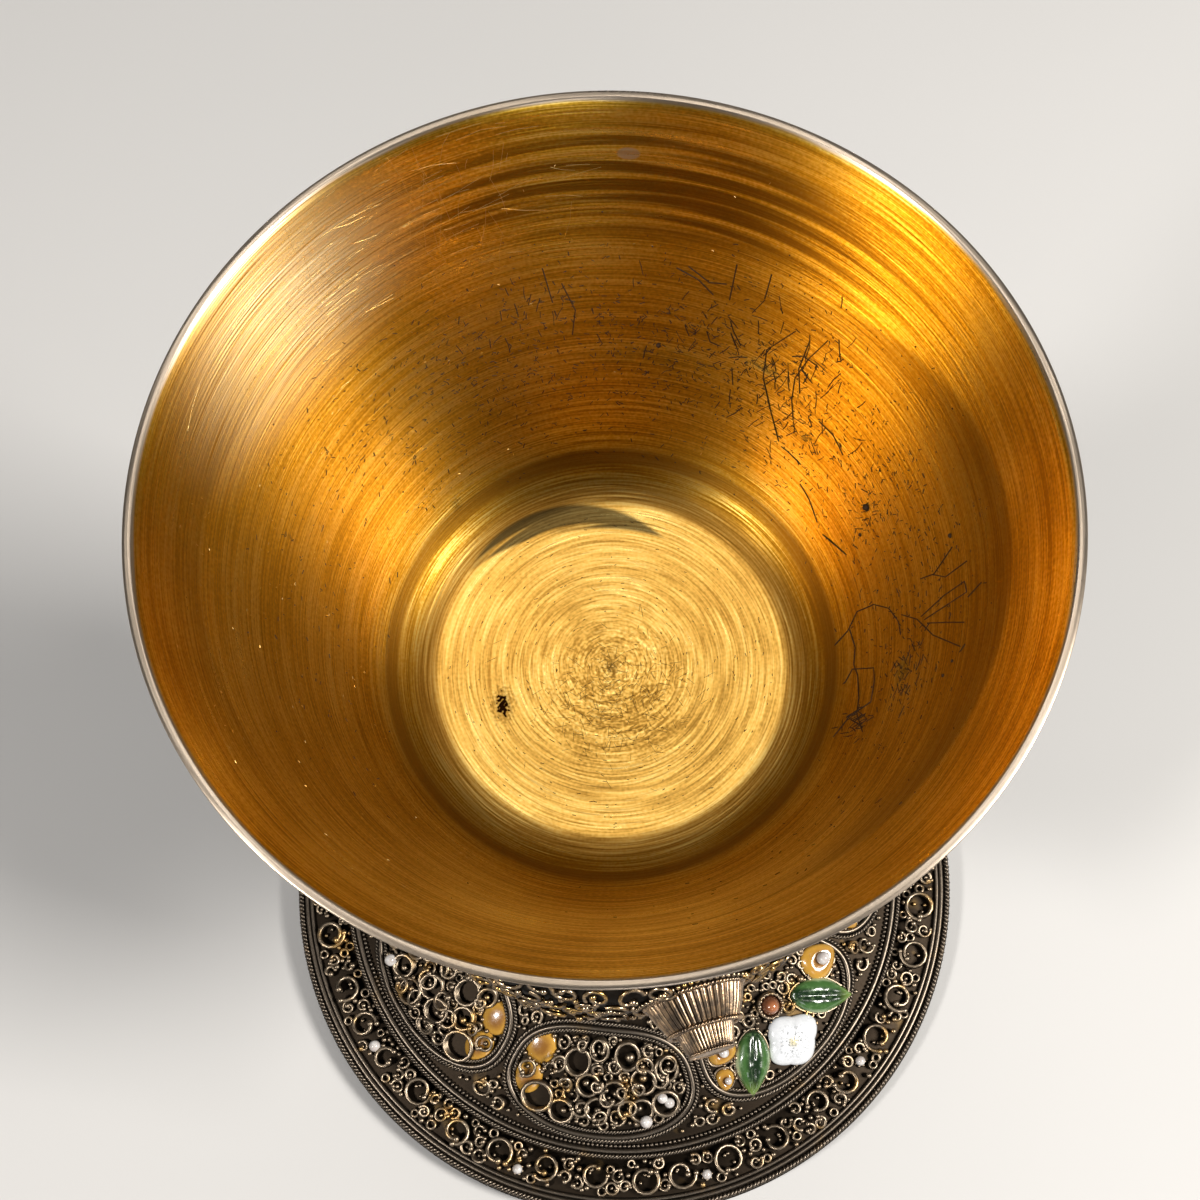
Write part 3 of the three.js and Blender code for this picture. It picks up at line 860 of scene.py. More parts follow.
def oval_path(half_width: float, half_depth: float, squareness: float, count: int) -> list[Point]:
    """A closed flat path between an oval and a rectangle."""
    path = []
    for angle in angles(count):
        c, s = math.cos(angle), math.sin(angle)
        x = math.copysign(abs(c) ** (2 / squareness), c) * half_width
        path.append((x, math.copysign(abs(s) ** (2 / squareness), s) * half_depth))
    return path


def walk(rail: Rail, count: int) -> Iterable[tuple[Vector, Vector, Vector]]:
    """Even steps round a closed rail: each point, its normal and its direction."""
    spans = [(rail[i], rail[(i + 1) % len(rail)]) for i in range(len(rail))]
    lengths = [(b[0] - a[0]).length for a, b in spans]
    step = sum(lengths) / count
    index, start = 0, 0.0
    for number in range(count):
        distance = number * step
        while index < len(spans) - 1 and start + lengths[index] < distance:
            start += lengths[index]
            index += 1
        (first, out), (second, out_too) = spans[index]
        share = (distance - start) / max(1e-9, lengths[index])
        yield first.lerp(second, share), out.lerp(out_too, share).normalized(), (second - first).normalized()


def rail_length(rail: Rail) -> float:
    """The length of a closed rail."""
    return sum((rail[i][0] - rail[i - 1][0]).length for i in range(len(rail)))


def twisted(rail: Rail, strand: float, pitch: float) -> list[Run]:
    """Two strands twisted together around a closed rail.

    Args:
        rail: The middle of the twist.
        strand: The radius of a strand, in millimetres.
        pitch: The length of one full twist, in millimetres.

    Returns:
        The two strands.
    """
    twists = max(3, round(rail_length(rail) / (pitch * MM)))
    strands: list[list[Vector]] = [[], []]
    for number, (point, out, ahead) in enumerate(walk(rail, TWIST_STEPS * twists)):
        side = ahead.cross(out)
        for which, points in enumerate(strands):
            phase = FULL_TURN * number / TWIST_STEPS + math.pi * which
            points.append(point + (side * math.cos(phase) + out * math.sin(phase)) * strand * 0.95 * MM)
    return [Run(points, strand, True) for points in strands]


def strung(rail: Rail, radius: float, pitch: float) -> list[Ball]:
    """Beads strung along a closed rail, by their radius and spacing in millimetres."""
    count = max(3, round(rail_length(rail) / (pitch * MM)))
    return [(point, radius) for point, _, _ in walk(rail, count)]


def add_piece(
    name: str, mesh: Mesh, materials: Sequence[Material], stands_for: Sequence[str] = ()
) -> None:
    """Turns a finished mesh into a piece of the chalice.

    Args:
        name: The piece's name.
        mesh: Its mesh, which is used up.
        materials: Its materials, in the order of its faces' numbers.
        stands_for: The frame's nodes that it replaces.
    """
    data = bpy.data.meshes.new(name)
    mesh.to_mesh(data)
    mesh.free()
    data.shade_smooth()
    for material in materials:
        data.materials.append(material)
    piece = bpy.data.objects.new(name, data)
    bpy.context.collection.objects.link(piece)
    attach(piece, BODY)
    if stands_for:
        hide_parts(*stands_for)
    log.info("%s: %d faces", name, len(data.polygons))


# Surfaces that ornament is laid on


class Surface:
    """A turned surface that ornament is laid on."""

    def section(self, along: float) -> tuple[Vector, Vector]:
        """The profile's point at a measure along it, and its outward normal."""
        raise NotImplementedError

    def at(self, azimuth: float, along: float, lift: float) -> Vector:
        """A point over the surface, by azimuth in radians, the measure along it and its lift."""
        point, normal = self.section(along)
        return polar(point.x + normal.x * lift, azimuth, point.y + normal.y * lift)

    def seat(self, azimuth: float, along: float, lift: float) -> Matrix:
        """A place on the surface with X around it and Z out of it."""
        normal = self.section(along)[1]
        return facing_out(azimuth, polar(normal.x, azimuth, normal.y), self.at(azimuth, along, lift))

    def field(self, azimuth: float, along: float) -> Lay:
        """Flat measures about a place, in millimetres: x around, y along the profile, and lift."""
        radius = self.section(along)[0].x
        return lambda x, y, lift: self.at(azimuth + x * MM / radius, along + y * MM, lift * MM)


class FootSurface(Surface):
    """The top of the foot: the flat band, the raised ring, and the dome that rises to the neck."""

    def __init__(self) -> None:
        """Takes the foot's size from the frame."""
        low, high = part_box("foot")
        self.radius = (high.x - low.x) / 2
        self.height = high.z
        self.ring_outer = self.radius - 9.8 * MM
        self.dome_radius = self.ring_outer - 2.8 * MM
        self.dome_height = 5.8 * MM
        self.neck_radius = 10.5 * MM
        self.band_height = 3.5 * MM
        self.medallion_radius = self.dome_radius - 11.3 * MM
        self.dome = curve_points(
            (self.dome_radius, self.dome_height),
            (self.dome_radius - 10.5 * MM, self.dome_height + 5 * MM),
            (self.neck_radius + 3.5 * MM, 16 * MM),
            (self.neck_radius, self.height - 6.5 * MM),
            56,
        )
        self.radii = [-point.x for point in self.dome]

    def section(self, radius: float) -> tuple[Vector, Vector]:
        """The point of the profile at a radius, and the unit normal out of it."""
        if radius >= self.dome_radius:
            return Vector((radius, self.band_height)), Vector((0.0, 1.0))
        index = min(max(bisect.bisect(self.radii, -radius), 1), len(self.dome) - 1)
        first, second = self.dome[index - 1], self.dome[index]
        run = (second - first).normalized()
        return first.lerp(second, (first.x - radius) / (first.x - second.x)), Vector((run.y, -run.x))


class KnopSurface(Surface):
    """The flattened ball of the knop, between its flat poles."""

    STEPS = 90

    def __init__(self) -> None:
        """Takes the knop's height from the frame."""
        low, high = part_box("knop")
        self.middle = (low.z + high.z) / 2
        self.half = (high.z - low.z) / 2
        self.pole = 11.5 * MM
        self.radius = 38.5 * MM
        quarter = [self._point(math.pi / 2 * k / self.STEPS) for k in range(self.STEPS + 1)]
        self.lengths = [0.0]
        for first, second in zip(quarter, quarter[1:]):
            self.lengths.append(self.lengths[-1] + (second - first).length)

    def _point(self, angle: float) -> Vector:
        """A point of the profile, at an angle from the equator in radians."""
        rise = math.copysign(abs(math.sin(angle)) ** (2 / 3), math.sin(angle))
        radius = self.pole + (self.radius - self.pole) * math.cos(angle)
        return Vector((radius, self.middle + self.half * rise))

    def section(self, length: float) -> tuple[Vector, Vector]:
        """The profile's point at a length up from the equator, and its normal."""
        reach = min(abs(length), self.lengths[-1] * 0.999)
        index = max(1, bisect.bisect(self.lengths, reach))
        share = (reach - self.lengths[index - 1]) / (self.lengths[index] - self.lengths[index - 1])
        angle = math.copysign((index - 1 + share) * math.pi / 2 / self.STEPS, length)
        run = (self._point(angle + 0.004) - self._point(angle - 0.004)).normalized()
        return self._point(angle), Vector((run.y, -run.x))


@dataclass
class Filigree:
    """Scrolls, hoops and granules that gather into one piece. All its lengths are in millimetres.

    A ball under the small radius has fewer facets.
    """

    chance: random.Random
    wires: list[Run] = field(default_factory=list)
    cords: list[Run] = field(default_factory=list)
    balls: list[Ball] = field(default_factory=list)
    pearls: list[Ball] = field(default_factory=list)
    SMALL = 0.5

    @staticmethod
    def arc(
        lay: Lay, x: float, y: float, radius: float, start: float, sweep: float, inner: float, lift: float,
        tilt: float = 0.0,
    ) -> list[Vector]:
        """Points along an arc that winds inwards.

        Args:
            lay: The surface's measures.
            x: The middle, around.
            y: The middle, across.
            radius: The outer radius.
            start: The angle of the outer end, in radians.
            sweep: How far it turns; its sign is its hand.
            inner: The inner end's share of the radius.
            lift: The height of the wire's middle.
            tilt: How far one side stands over that, and the other under it.

        Returns:
            The points.
        """
        count = max(6, round(abs(sweep) / FULL_TURN * 14))
        points = []
        for step in range(count + 1):
            share = step / count
            angle = start + sweep * share
            reach = radius * (1 - (1 - inner) * share**1.6)
            height = lift + tilt * math.cos(angle - 1.7 * start)
            points.append(lay(x + reach * math.cos(angle), y + reach * math.sin(angle), height))
        return points

    def hoop(
        self, lay: Lay, x: float, y: float, radius: float, wire: float, tall: int, tilt: float = 0.0
    ) -> None:
        """Adds a hoop of one or more wires on each other."""
        for level in range(tall):
            lift = wire * (0.7 + 1.6 * level) + abs(tilt)
            points = self.arc(lay, x, y, radius, 0.0, FULL_TURN, 1.0, lift, tilt * level)
            self.wires.append(Run(points[:-1], wire, True))

    def scroll(
        self, lay: Lay, x: float, y: float, radius: float, wire: float, lift: float, tilt: float = 0.0
    ) -> None:
        """Adds a curled scroll with a bead at each end."""
        chance = self.chance
        sweep = chance.choice((-1, 1)) * chance.uniform(1.3, 2.3) * math.pi
        start, inner = chance.uniform(0, FULL_TURN), chance.uniform(0.3, 0.75)
        points = self.arc(lay, x, y, radius, start, sweep, inner, lift + abs(tilt), tilt)
        self.wires.append(Run(points, wire))
        self.balls.append((points[-1], wire * chance.uniform(1.4, 1.9)))
        self.balls.append((points[0], wire * chance.uniform(1.2, 1.7)))

    def granule(self, lay: Lay, x: float, y: float, radius: float, lift: float = 0.0) -> None:
        """Adds one ball that stands on the surface."""
        self.balls.append((lay(x, y, radius * 0.8 + lift), radius))

    def rosette(self, lay: Lay, x: float, y: float, radius: float) -> None:
        """Adds a ball with small beads around it."""
        self.granule(lay, x, y, radius, 0.2)
        reach = radius * 1.1
        for angle in angles(7):
            self.granule(lay, x + reach * math.cos(angle), y + reach * math.sin(angle), radius * 0.42)

    def unit(self, lay: Lay, x: float, y: float, size: float, lift: float) -> None:
        """Adds a form of a given radius and lift: a ringed boss, a hoop, a scroll or a granule."""
        chance = self.chance
        angle = chance.uniform(0, FULL_TURN)
        if size > 1.9:
            self.hoop(lay, x, y, size * 0.86, 0.37, 3, chance.uniform(-0.25, 0.25))
            self.granule(lay, x + 0.4 * math.cos(angle), y + 0.4 * math.sin(angle), size * 0.34, 0.2)
            self.granule(lay, x + size * math.cos(angle), y + size * math.sin(angle), 0.52, 0.9)
        elif size > 1.0:
            wire, height = chance.uniform(0.29, 0.36), lift + chance.uniform(0.3, 0.8)
            self.scroll(lay, x, y, size * 0.94, wire, height, chance.uniform(-0.5, 0.5))
            self.granule(lay, x, y, chance.uniform(0.35, 0.55), lift * 0.5)
        elif size > 0.75:
            self.hoop(lay, x, y, size * 0.82, 0.27, 2, chance.uniform(-0.2, 0.2))
        else:
            self.granule(lay, x, y, size, lift + chance.uniform(0, 0.4))

    def fill(
        self, lay: Lay, reach: Point, is_open: Opening, taken: list[Circle],
        sizes: Sequence[tuple[float, int]], lift: float = 0.0,
    ) -> None:
        """Packs a field with forms of falling size that overlap a little.

        Args:
            lay: The field's measures.
            reach: Half the field's width and depth.
            is_open: True where a circle at x and y of a radius may stand.
            taken: Circles that are in use; it grows.
            sizes: Radii, and how many tries each has.
            lift: How high the forms stand.
        """
        for size, tries in sizes:
            for _ in range(tries):
                x, y = (self.chance.uniform(-half, half) for half in reach)
                radius = size * self.chance.uniform(0.85, 1.1)
                if not is_open(x, y, radius):
                    continue
                if all(math.hypot(x - a, y - b) > 0.84 * (radius + r) for a, b, r in taken):
                    taken.append((x, y, radius))
                    self.unit(lay, x, y, radius, lift)

    def add_pearls(self, name: str, finish: Material) -> None:
        """Adds the pearls as a piece of their own."""
        add_piece(name, ball_mesh(self.pearls, 16), [finish])

    def add(self, name: str, finish: Material, slot: str, stands_for: Sequence[str] = ()) -> None:
        """Adds all that has gathered as one piece of one finish."""
        mesh = ball_mesh([ball for ball in self.balls if ball[1] < self.SMALL], 6)
        add_mesh(mesh, ball_mesh([ball for ball in self.balls if ball[1] >= self.SMALL], 8))
        add_wires(mesh, self.wires, 1)
        add_wires(mesh, self.cords, 0)
        add_piece(name, mesh, [finish], stands_for)


# The pieces of the chalice


@dataclass(frozen=True)
class Finishes:
    """The finishes that the pieces share."""

    ground: Material
    silver: Material
    wire: Material
    edge: Material
    lace: Material
    fluted: Material
    pearl: Material
    enamels: dict


SILVERS = {
    "ground": ToplitRubbedSilver(
        "oxidised_ground", (0.009, 0.0065, 0.0048), (0.034, 0.025, 0.0175), 0.1, (0.75, 0.55)
    ),
    "silver": ToplitRubbedSilver("oxidised_silver", (0.036, 0.029, 0.022), (0.30, 0.25, 0.19), 0.25, (0.60, 0.36)),
    "wire": ToplitRubbedSilver("filigree_wire", (0.036, 0.027, 0.018), (0.38, 0.30, 0.215), 0.35, (0.60, 0.38)),
    "edge": ToplitRubbedSilver("brown_silver", (0.045, 0.037, 0.029), (0.19, 0.155, 0.12), 0.1, (0.60, 0.38)),
    "lace": ToplitRubbedSilver("gilt_lace", (0.05, 0.034, 0.022), (0.62, 0.46, 0.30), 0.6, (0.55, 0.26)),
}


@dataclass
class Bowl:
    """The cup: gilt inside, smooth silver outside, with a thin worn lip."""

    wall: float = 1 * MM
    floor_radius: float = 22.3 * MM
    corner_reach: float = 5.8 * MM
    corner_rise: float = 2.9 * MM
    belly_reach: float = 6.5 * MM
    belly_rise: float = 8 * MM
    flare_reach: float = 9.6 * MM
    flare_drop: float = 23 * MM
    dish: float = 0.3 * MM
    segments: int = 240
    MAP_RADIUS = 40 * MM
    MAP_LENGTH = 60 * MM

    def __post_init__(self) -> None:
        """Takes the cup's place from the frame."""
        low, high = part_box("cup")
        self.base = low.z
        self.floor = low.z + self.wall
        self.lip = high.z
        self.rim_radius = (high.x - low.x) / 2

    @classmethod
    def unrolled(cls, azimuth: float, depth: float) -> Point:
        """The place on the unrolled wall of an azimuth in degrees and a share of depth."""
        return math.radians(azimuth) * cls.MAP_RADIUS, depth * cls.MAP_LENGTH

    def inner(self) -> list[Vector]:
        """The inner profile from the floor to the lip."""
        corner = (self.floor_radius + self.corner_reach, self.floor + self.corner_rise)
        edge = (self.rim_radius - self.wall, self.lip)
        shares = (0.12, 0.3, 0.5, 0.7, 0.8, 0.88, 0.94)
        dished = [Vector((self.floor_radius * s, self.floor + self.dish * s**6)) for s in shares]
        turn_up = curve_points(
            (self.floor_radius, self.floor + self.dish),
            (self.floor_radius + 0.5 * self.corner_reach, self.floor + self.dish),
            (corner[0] - 0.25 * self.corner_reach, corner[1] - 0.5 * self.corner_rise),
            corner,
            9,
        )
        wall = curve_points(
            corner,
            (corner[0] + self.belly_reach, corner[1] + self.belly_rise),
            (edge[0] - self.flare_reach, self.lip - self.flare_drop),
            edge,
            48,
        )
        return [*dished, *turn_up, *wall[1:]]

    def build(self) -> None:
        """Makes the cup in the place of its node."""
        inner = self.inner()
        outer = moved_out(inner, self.wall)
        middle = (inner[-1] + outer[-1]) / 2
        arc = [math.radians(d) for d in (-20, 15, 50, 90, 130, 165)]
        lip_arc = [middle + Vector((math.cos(a), math.sin(a) * 0.8)) * self.wall / 2 for a in arc]
        base = [Vector((0.0, self.base)), Vector((self.floor_radius * 0.6, self.base))]
        rising = [p for p in outer if p.x > self.floor_radius * 0.8]
        profile = [*base, *rising[:-1:2], *lip_arc, *reversed(inner[:-1]), Vector((0.0, self.floor))]
        kept = [(min(p.x, self.rim_radius), min(max(p.y, self.base), self.lip)) for p in profile]
        mesh = turn(kept, self.segments)
        self._sort_faces(mesh)
        self._unroll(mesh)
        looks = (Gilding(self.lip, self.floor, self.floor_radius), PolishedSilver())
        add_piece("cup_shell", mesh, [look.material() for look in looks], ["cup"])

    def _sort_faces(self, mesh: Mesh) -> None:
        """Numbers the faces: 0 for the gilt inside, 1 for the silver outside."""
        for face in mesh.faces:
            middle = face.calc_center_median()
            inward = -middle.xy.normalized() if middle.xy.length > 0 else Vector((0.0, 0.0))
            looks_in = face.normal.xy.dot(inward) > 0.2 or face.normal.z > 0.3
            face.material_index = 0 if looks_in and middle.z > self.floor - self.wall / 2 else 1

    def _unroll(self, mesh: Mesh) -> None:
        """Gives each corner its place on the unrolled wall, with the seam at the front."""
        layer = mesh.loops.layers.uv.new("unrolled")
        for face in mesh.faces:
            middle = face.calc_center_median()
            facing = math.atan2(middle.x, -middle.y) % FULL_TURN
            for corner in face.loops:
                place = corner.vert.co
                azimuth = math.atan2(place.x, -place.y) % FULL_TURN if place.xy.length > 1e-6 else facing
                if azimuth - facing > math.pi:
                    azimuth -= FULL_TURN
                elif facing - azimuth > math.pi:
                    azimuth += FULL_TURN
                depth = (self.lip - place.z) / (self.lip - self.floor)
                corner[layer].uv = self.unrolled(math.degrees(azimuth), depth)


@dataclass
class BowlWear:
    """Scratches and pits in the gilding, black with dirt or freshly bright.

    A place on the wall is an azimuth in degrees and a share of the depth, from 0 at the lip. A cluster has
    its place, its width and height, a count of strokes, their slope and their length; a pit has its place
    and radius. Lengths are in millimetres.
    """

    bowl: Bowl
    STROKES = (
        ((136, 0.42), (138, 0.50), (139, 0.57), (138, 0.63), (136, 0.68)),
        ((139, 0.45), (139, 0.54), (137, 0.60)),
        ((142, 0.45), (146, 0.54), (145, 0.62), (141, 0.70), (137, 0.76)),
        ((141, 0.52), (139, 0.50), (136, 0.50), (136, 0.55), (139, 0.53), (139, 0.47)),
        ((131, 0.63), (127, 0.63), (123, 0.65)),
        ((149, 0.34), (149, 0.41)),
        ((155, 0.35), (155, 0.45)),
        ((165, 0.40), (161, 0.42), (158, 0.45)),
        ((163, 0.39), (159, 0.42), (156, 0.41)),
        ((154, 0.506), (153, 0.532), (151, 0.562)),
        ((158, 0.556), (157, 0.583), (155, 0.586)),
        ((128, 0.816), (124, 0.828), (119, 0.852)),
        ((136, 0.768), (134, 0.768), (130, 0.771)),
        ((116, 0.859), (108, 0.823)),
        ((92, 0.577), (91, 0.519), (93, 0.432)),
        ((91, 0.524), (89, 0.475), (89, 0.383)),
        ((85, 0.588), (86, 0.487), (86, 0.399), (84, 0.391), (84, 0.481), (84, 0.573)),
        ((83, 0.386), (84, 0.332)),
        ((88, 0.674), (85, 0.606), (80, 0.532), (75, 0.401)),
        ((83, 0.561), (81, 0.479), (79, 0.396)),
        ((74, 0.399), (75, 0.381)),
        ((90, 0.934), (92, 0.889), (95, 0.848), (94, 0.782), (91, 0.724), (87, 0.688), (84, 0.680)),
        ((92, 0.883), (87, 0.869), (83, 0.875), (80, 0.858), (74, 0.840), (70, 0.832), (65, 0.779)),
        ((79, 0.903), (82, 0.879), (80, 0.794), (77, 0.785), (72, 0.783), (70, 0.860), (65, 0.898)),
        ((70, 0.870), (71, 0.836), (68, 0.778), (67, 0.802), (69, 0.852)),
        ((185, 0.45), (183, 0.53), (184, 0.60)),
        ((188, 0.40), (187, 0.50)),
    )
    CLUSTERS = (
        (138, 0.58, 8, 12, 46, 70, 2.4),
        (137, 0.70, 5, 7, 24, 60, 1.6),
        (76, 0.64, 5, 5, 60, 40, 1.0),
        (68, 0.83, 3, 4, 26, 80, 1.4),
        (111, 0.70, 2, 3, 18, 60, 1.0),
        (152, 0.57, 8, 6, 40, 50, 1.3),
        (188, 0.50, 12, 8, 30, 80, 1.6),
    )
    PITS = (
        (112, 0.685, 0.55), (109, 0.75, 0.28), (95, 0.432, 0.32),
        (167, 0.628, 0.38), (71, 0.454, 0.25), (73, 0.426, 0.22),
    )
    LINE = 0.10
    WALL_RADIUS = 36
    WALL_DEPTH = 56
    FLOOR_REACH = 21.5
    SCATTERED = 2100
    SPOTS = 260
    BRUSH_LINES = 150
    GLINTS = 240
    FLOOR_LINES = 330
    FLOOR_DOTS = 290

    def __post_init__(self) -> None:
        """Finds the wall."""
        self.wall = self.bowl.inner()
        self.chance = random.Random(4)

    def _height(self, depth: float) -> float:
        """The height at a share of the depth."""
        return self.bowl.lip + (self.bowl.floor - self.bowl.lip) * depth

    def _on_wall(self, azimuth: float, depth: float) -> Vector:
        """A point of the wall, by its azimuth in degrees and its share of the depth."""
        height = self._height(min(max(depth, 0.02), 0.98))
        return polar(radius_at(self.wall, height), math.radians(azimuth), height)

    def _stroke(self, azimuth: float, depth: float, degrees: float, length: float, radius: float) -> Run:
        """A short straight scratch on the wall.

        Args:
            azimuth: Where its middle is, in degrees.
            depth: Where its middle is, as a share of the depth.
            degrees: Its slope; 0 runs around the bowl.
            length: Its length in millimetres.
            radius: Its half width in millimetres.

        Returns:
            The scratch.
        """
        around = math.degrees(length / 2 * MM / radius_at(self.wall, self._height(depth)))
        down = length / 2 * MM / (self.bowl.lip - self.bowl.floor)
        cos, sin = math.cos(math.radians(degrees)), math.sin(math.radians(degrees))
        bend = self.chance.uniform(-0.12, 0.12)
        steps = (-1, 0, 1) if length > 1.2 else (-1, 1)
        points = []
        for s in steps:
            b = bend * (1 - s * s)
            place = azimuth + around * (s * cos - b * sin), depth + down * (s * sin + b * cos)
            points.append(self._on_wall(*place))
        return Run(points, radius)

    def build(self) -> None:
        """Makes the dark scratches and pits, then the bright scratches."""
        dirt = ScratchedMetal("dirt_in_scratches", (0.035, 0.014, 0.004), 0.3, 0.7)
        strokes = self._dark_strokes()
        self._add("dark_scratches", strokes, self._pits(), dirt)
        fresh = ScratchedMetal("fresh_scratches", (0.90, 0.68, 0.30), 1.0, 0.35)
        self._add("bright_scratches", self._bright_strokes(), [], fresh)

    @staticmethod
    def _add(name: str, strokes: Sequence[Run], pits: Sequence[Ball], finish: ScratchedMetal) -> None:
        """Adds scratches and pits as one piece of the cup's gilding."""
        mesh = bmesh.new()
        add_wires(mesh, strokes, 0)
        add_mesh(mesh, ball_mesh(pits, 6))
        add_piece(name, mesh, [finish.material()])

    def _dark_strokes(self) -> list[Run]:
        """The scratches that are black with dirt: drawn ones, clusters, scattered ones and the floor's."""
        chance = self.chance
        dark = [Run([self._on_wall(*spot) for spot in stroke], self.LINE) for stroke in self.STROKES]
        for azimuth, depth, wide, tall, count, slope, length in self.CLUSTERS:
            for _ in range(count):
                at = azimuth + math.degrees(chance.gauss(0, wide / 2) / self.WALL_RADIUS)
                down = min(0.95, max(0.2, depth + chance.gauss(0, tall / 2) / self.WALL_DEPTH))
                leaning = chance.choice((slope, slope + 12, 180 - slope, chance.uniform(0, 180)))
                leaning += chance.uniform(-12, 12)
                reach = length * chance.uniform(0.5, 1.6)
                dark.append(self._stroke(at, down, leaning, reach, chance.uniform(0.05, 0.095)))
        for _ in range(self.SCATTERED):
            at, down = chance.gauss(158, 50), chance.gauss(0.62, 0.13)
            if 0.3 < down < 0.95:
                leaning, reach = chance.uniform(0, 180), chance.uniform(0.15, 0.7)
                dark.append(self._stroke(at, down, leaning, reach, chance.uniform(0.045, 0.085)))
        return dark + self._floor_marks()

    def _pits(self) -> list[Ball]:
        """The pits that are set out one by one, and many tiny ones."""
        chance = self.chance
        pits = [(self._on_wall(azimuth, depth), size) for azimuth, depth, size in self.PITS]
        for _ in range(self.SPOTS):
            place = self._on_wall(chance.gauss(150, 60), chance.uniform(0.25, 0.95))
            pits.append((place, chance.uniform(0.07, 0.13)))
        return pits

    def _bright_strokes(self) -> list[Run]:
        """The fresh scratches: brush lines under the lip, and glints all over."""
        chance = self.chance
        bright = []
        for _ in range(self.BRUSH_LINES):
            slope = chance.choice((8, -8, 4, 75, 100)) + chance.uniform(-9, 9)
            at, down = chance.gauss(212, 14), abs(chance.gauss(0.15, 0.09)) + 0.015
            bright.append(self._stroke(at, down, slope, chance.uniform(1, 6), 0.02))
        for _ in range(self.GLINTS):
            at, down = chance.gauss(255, 55), chance.uniform(0.1, 0.9)
            bright.append(self._stroke(at, down, chance.uniform(0, 180), 0.3, 0.04))
        return bright

    def _floor_marks(self) -> list[Run]:
        """Short scratches on the floor, thickest near its middle, and dots around its edge."""
        chance = self.chance
        marks = []
        for number in range(self.FLOOR_LINES + self.FLOOR_DOTS):
            if number < self.FLOOR_LINES:
                x, y = chance.gauss(0.3, 4.5), chance.gauss(-4.5, 4.2)
                length, angle, radius = chance.uniform(0.5, 1.6), chance.uniform(0, math.pi), 0.022
            else:
                reach, azimuth = math.sqrt(chance.uniform(0.02, 1)) * 22, chance.uniform(0, FULL_TURN)
                x, y = reach * math.sin(azimuth), reach * math.cos(azimuth)
                length, radius = chance.uniform(0.12, 0.5), 0.045
                angle = -azimuth + chance.uniform(-0.4, 0.4)
            if math.hypot(x, y) > self.FLOOR_REACH:
                continue
            height = self.bowl.floor + self.bowl.dish * (math.hypot(x, y) * MM / self.bowl.floor_radius) ** 6
            half = Vector((math.cos(angle), math.sin(angle), 0)) * length / 2 * MM
            middle = Vector((x * MM, y * MM, height))
            marks.append(Run([middle - half, middle + half], radius))
        return marks


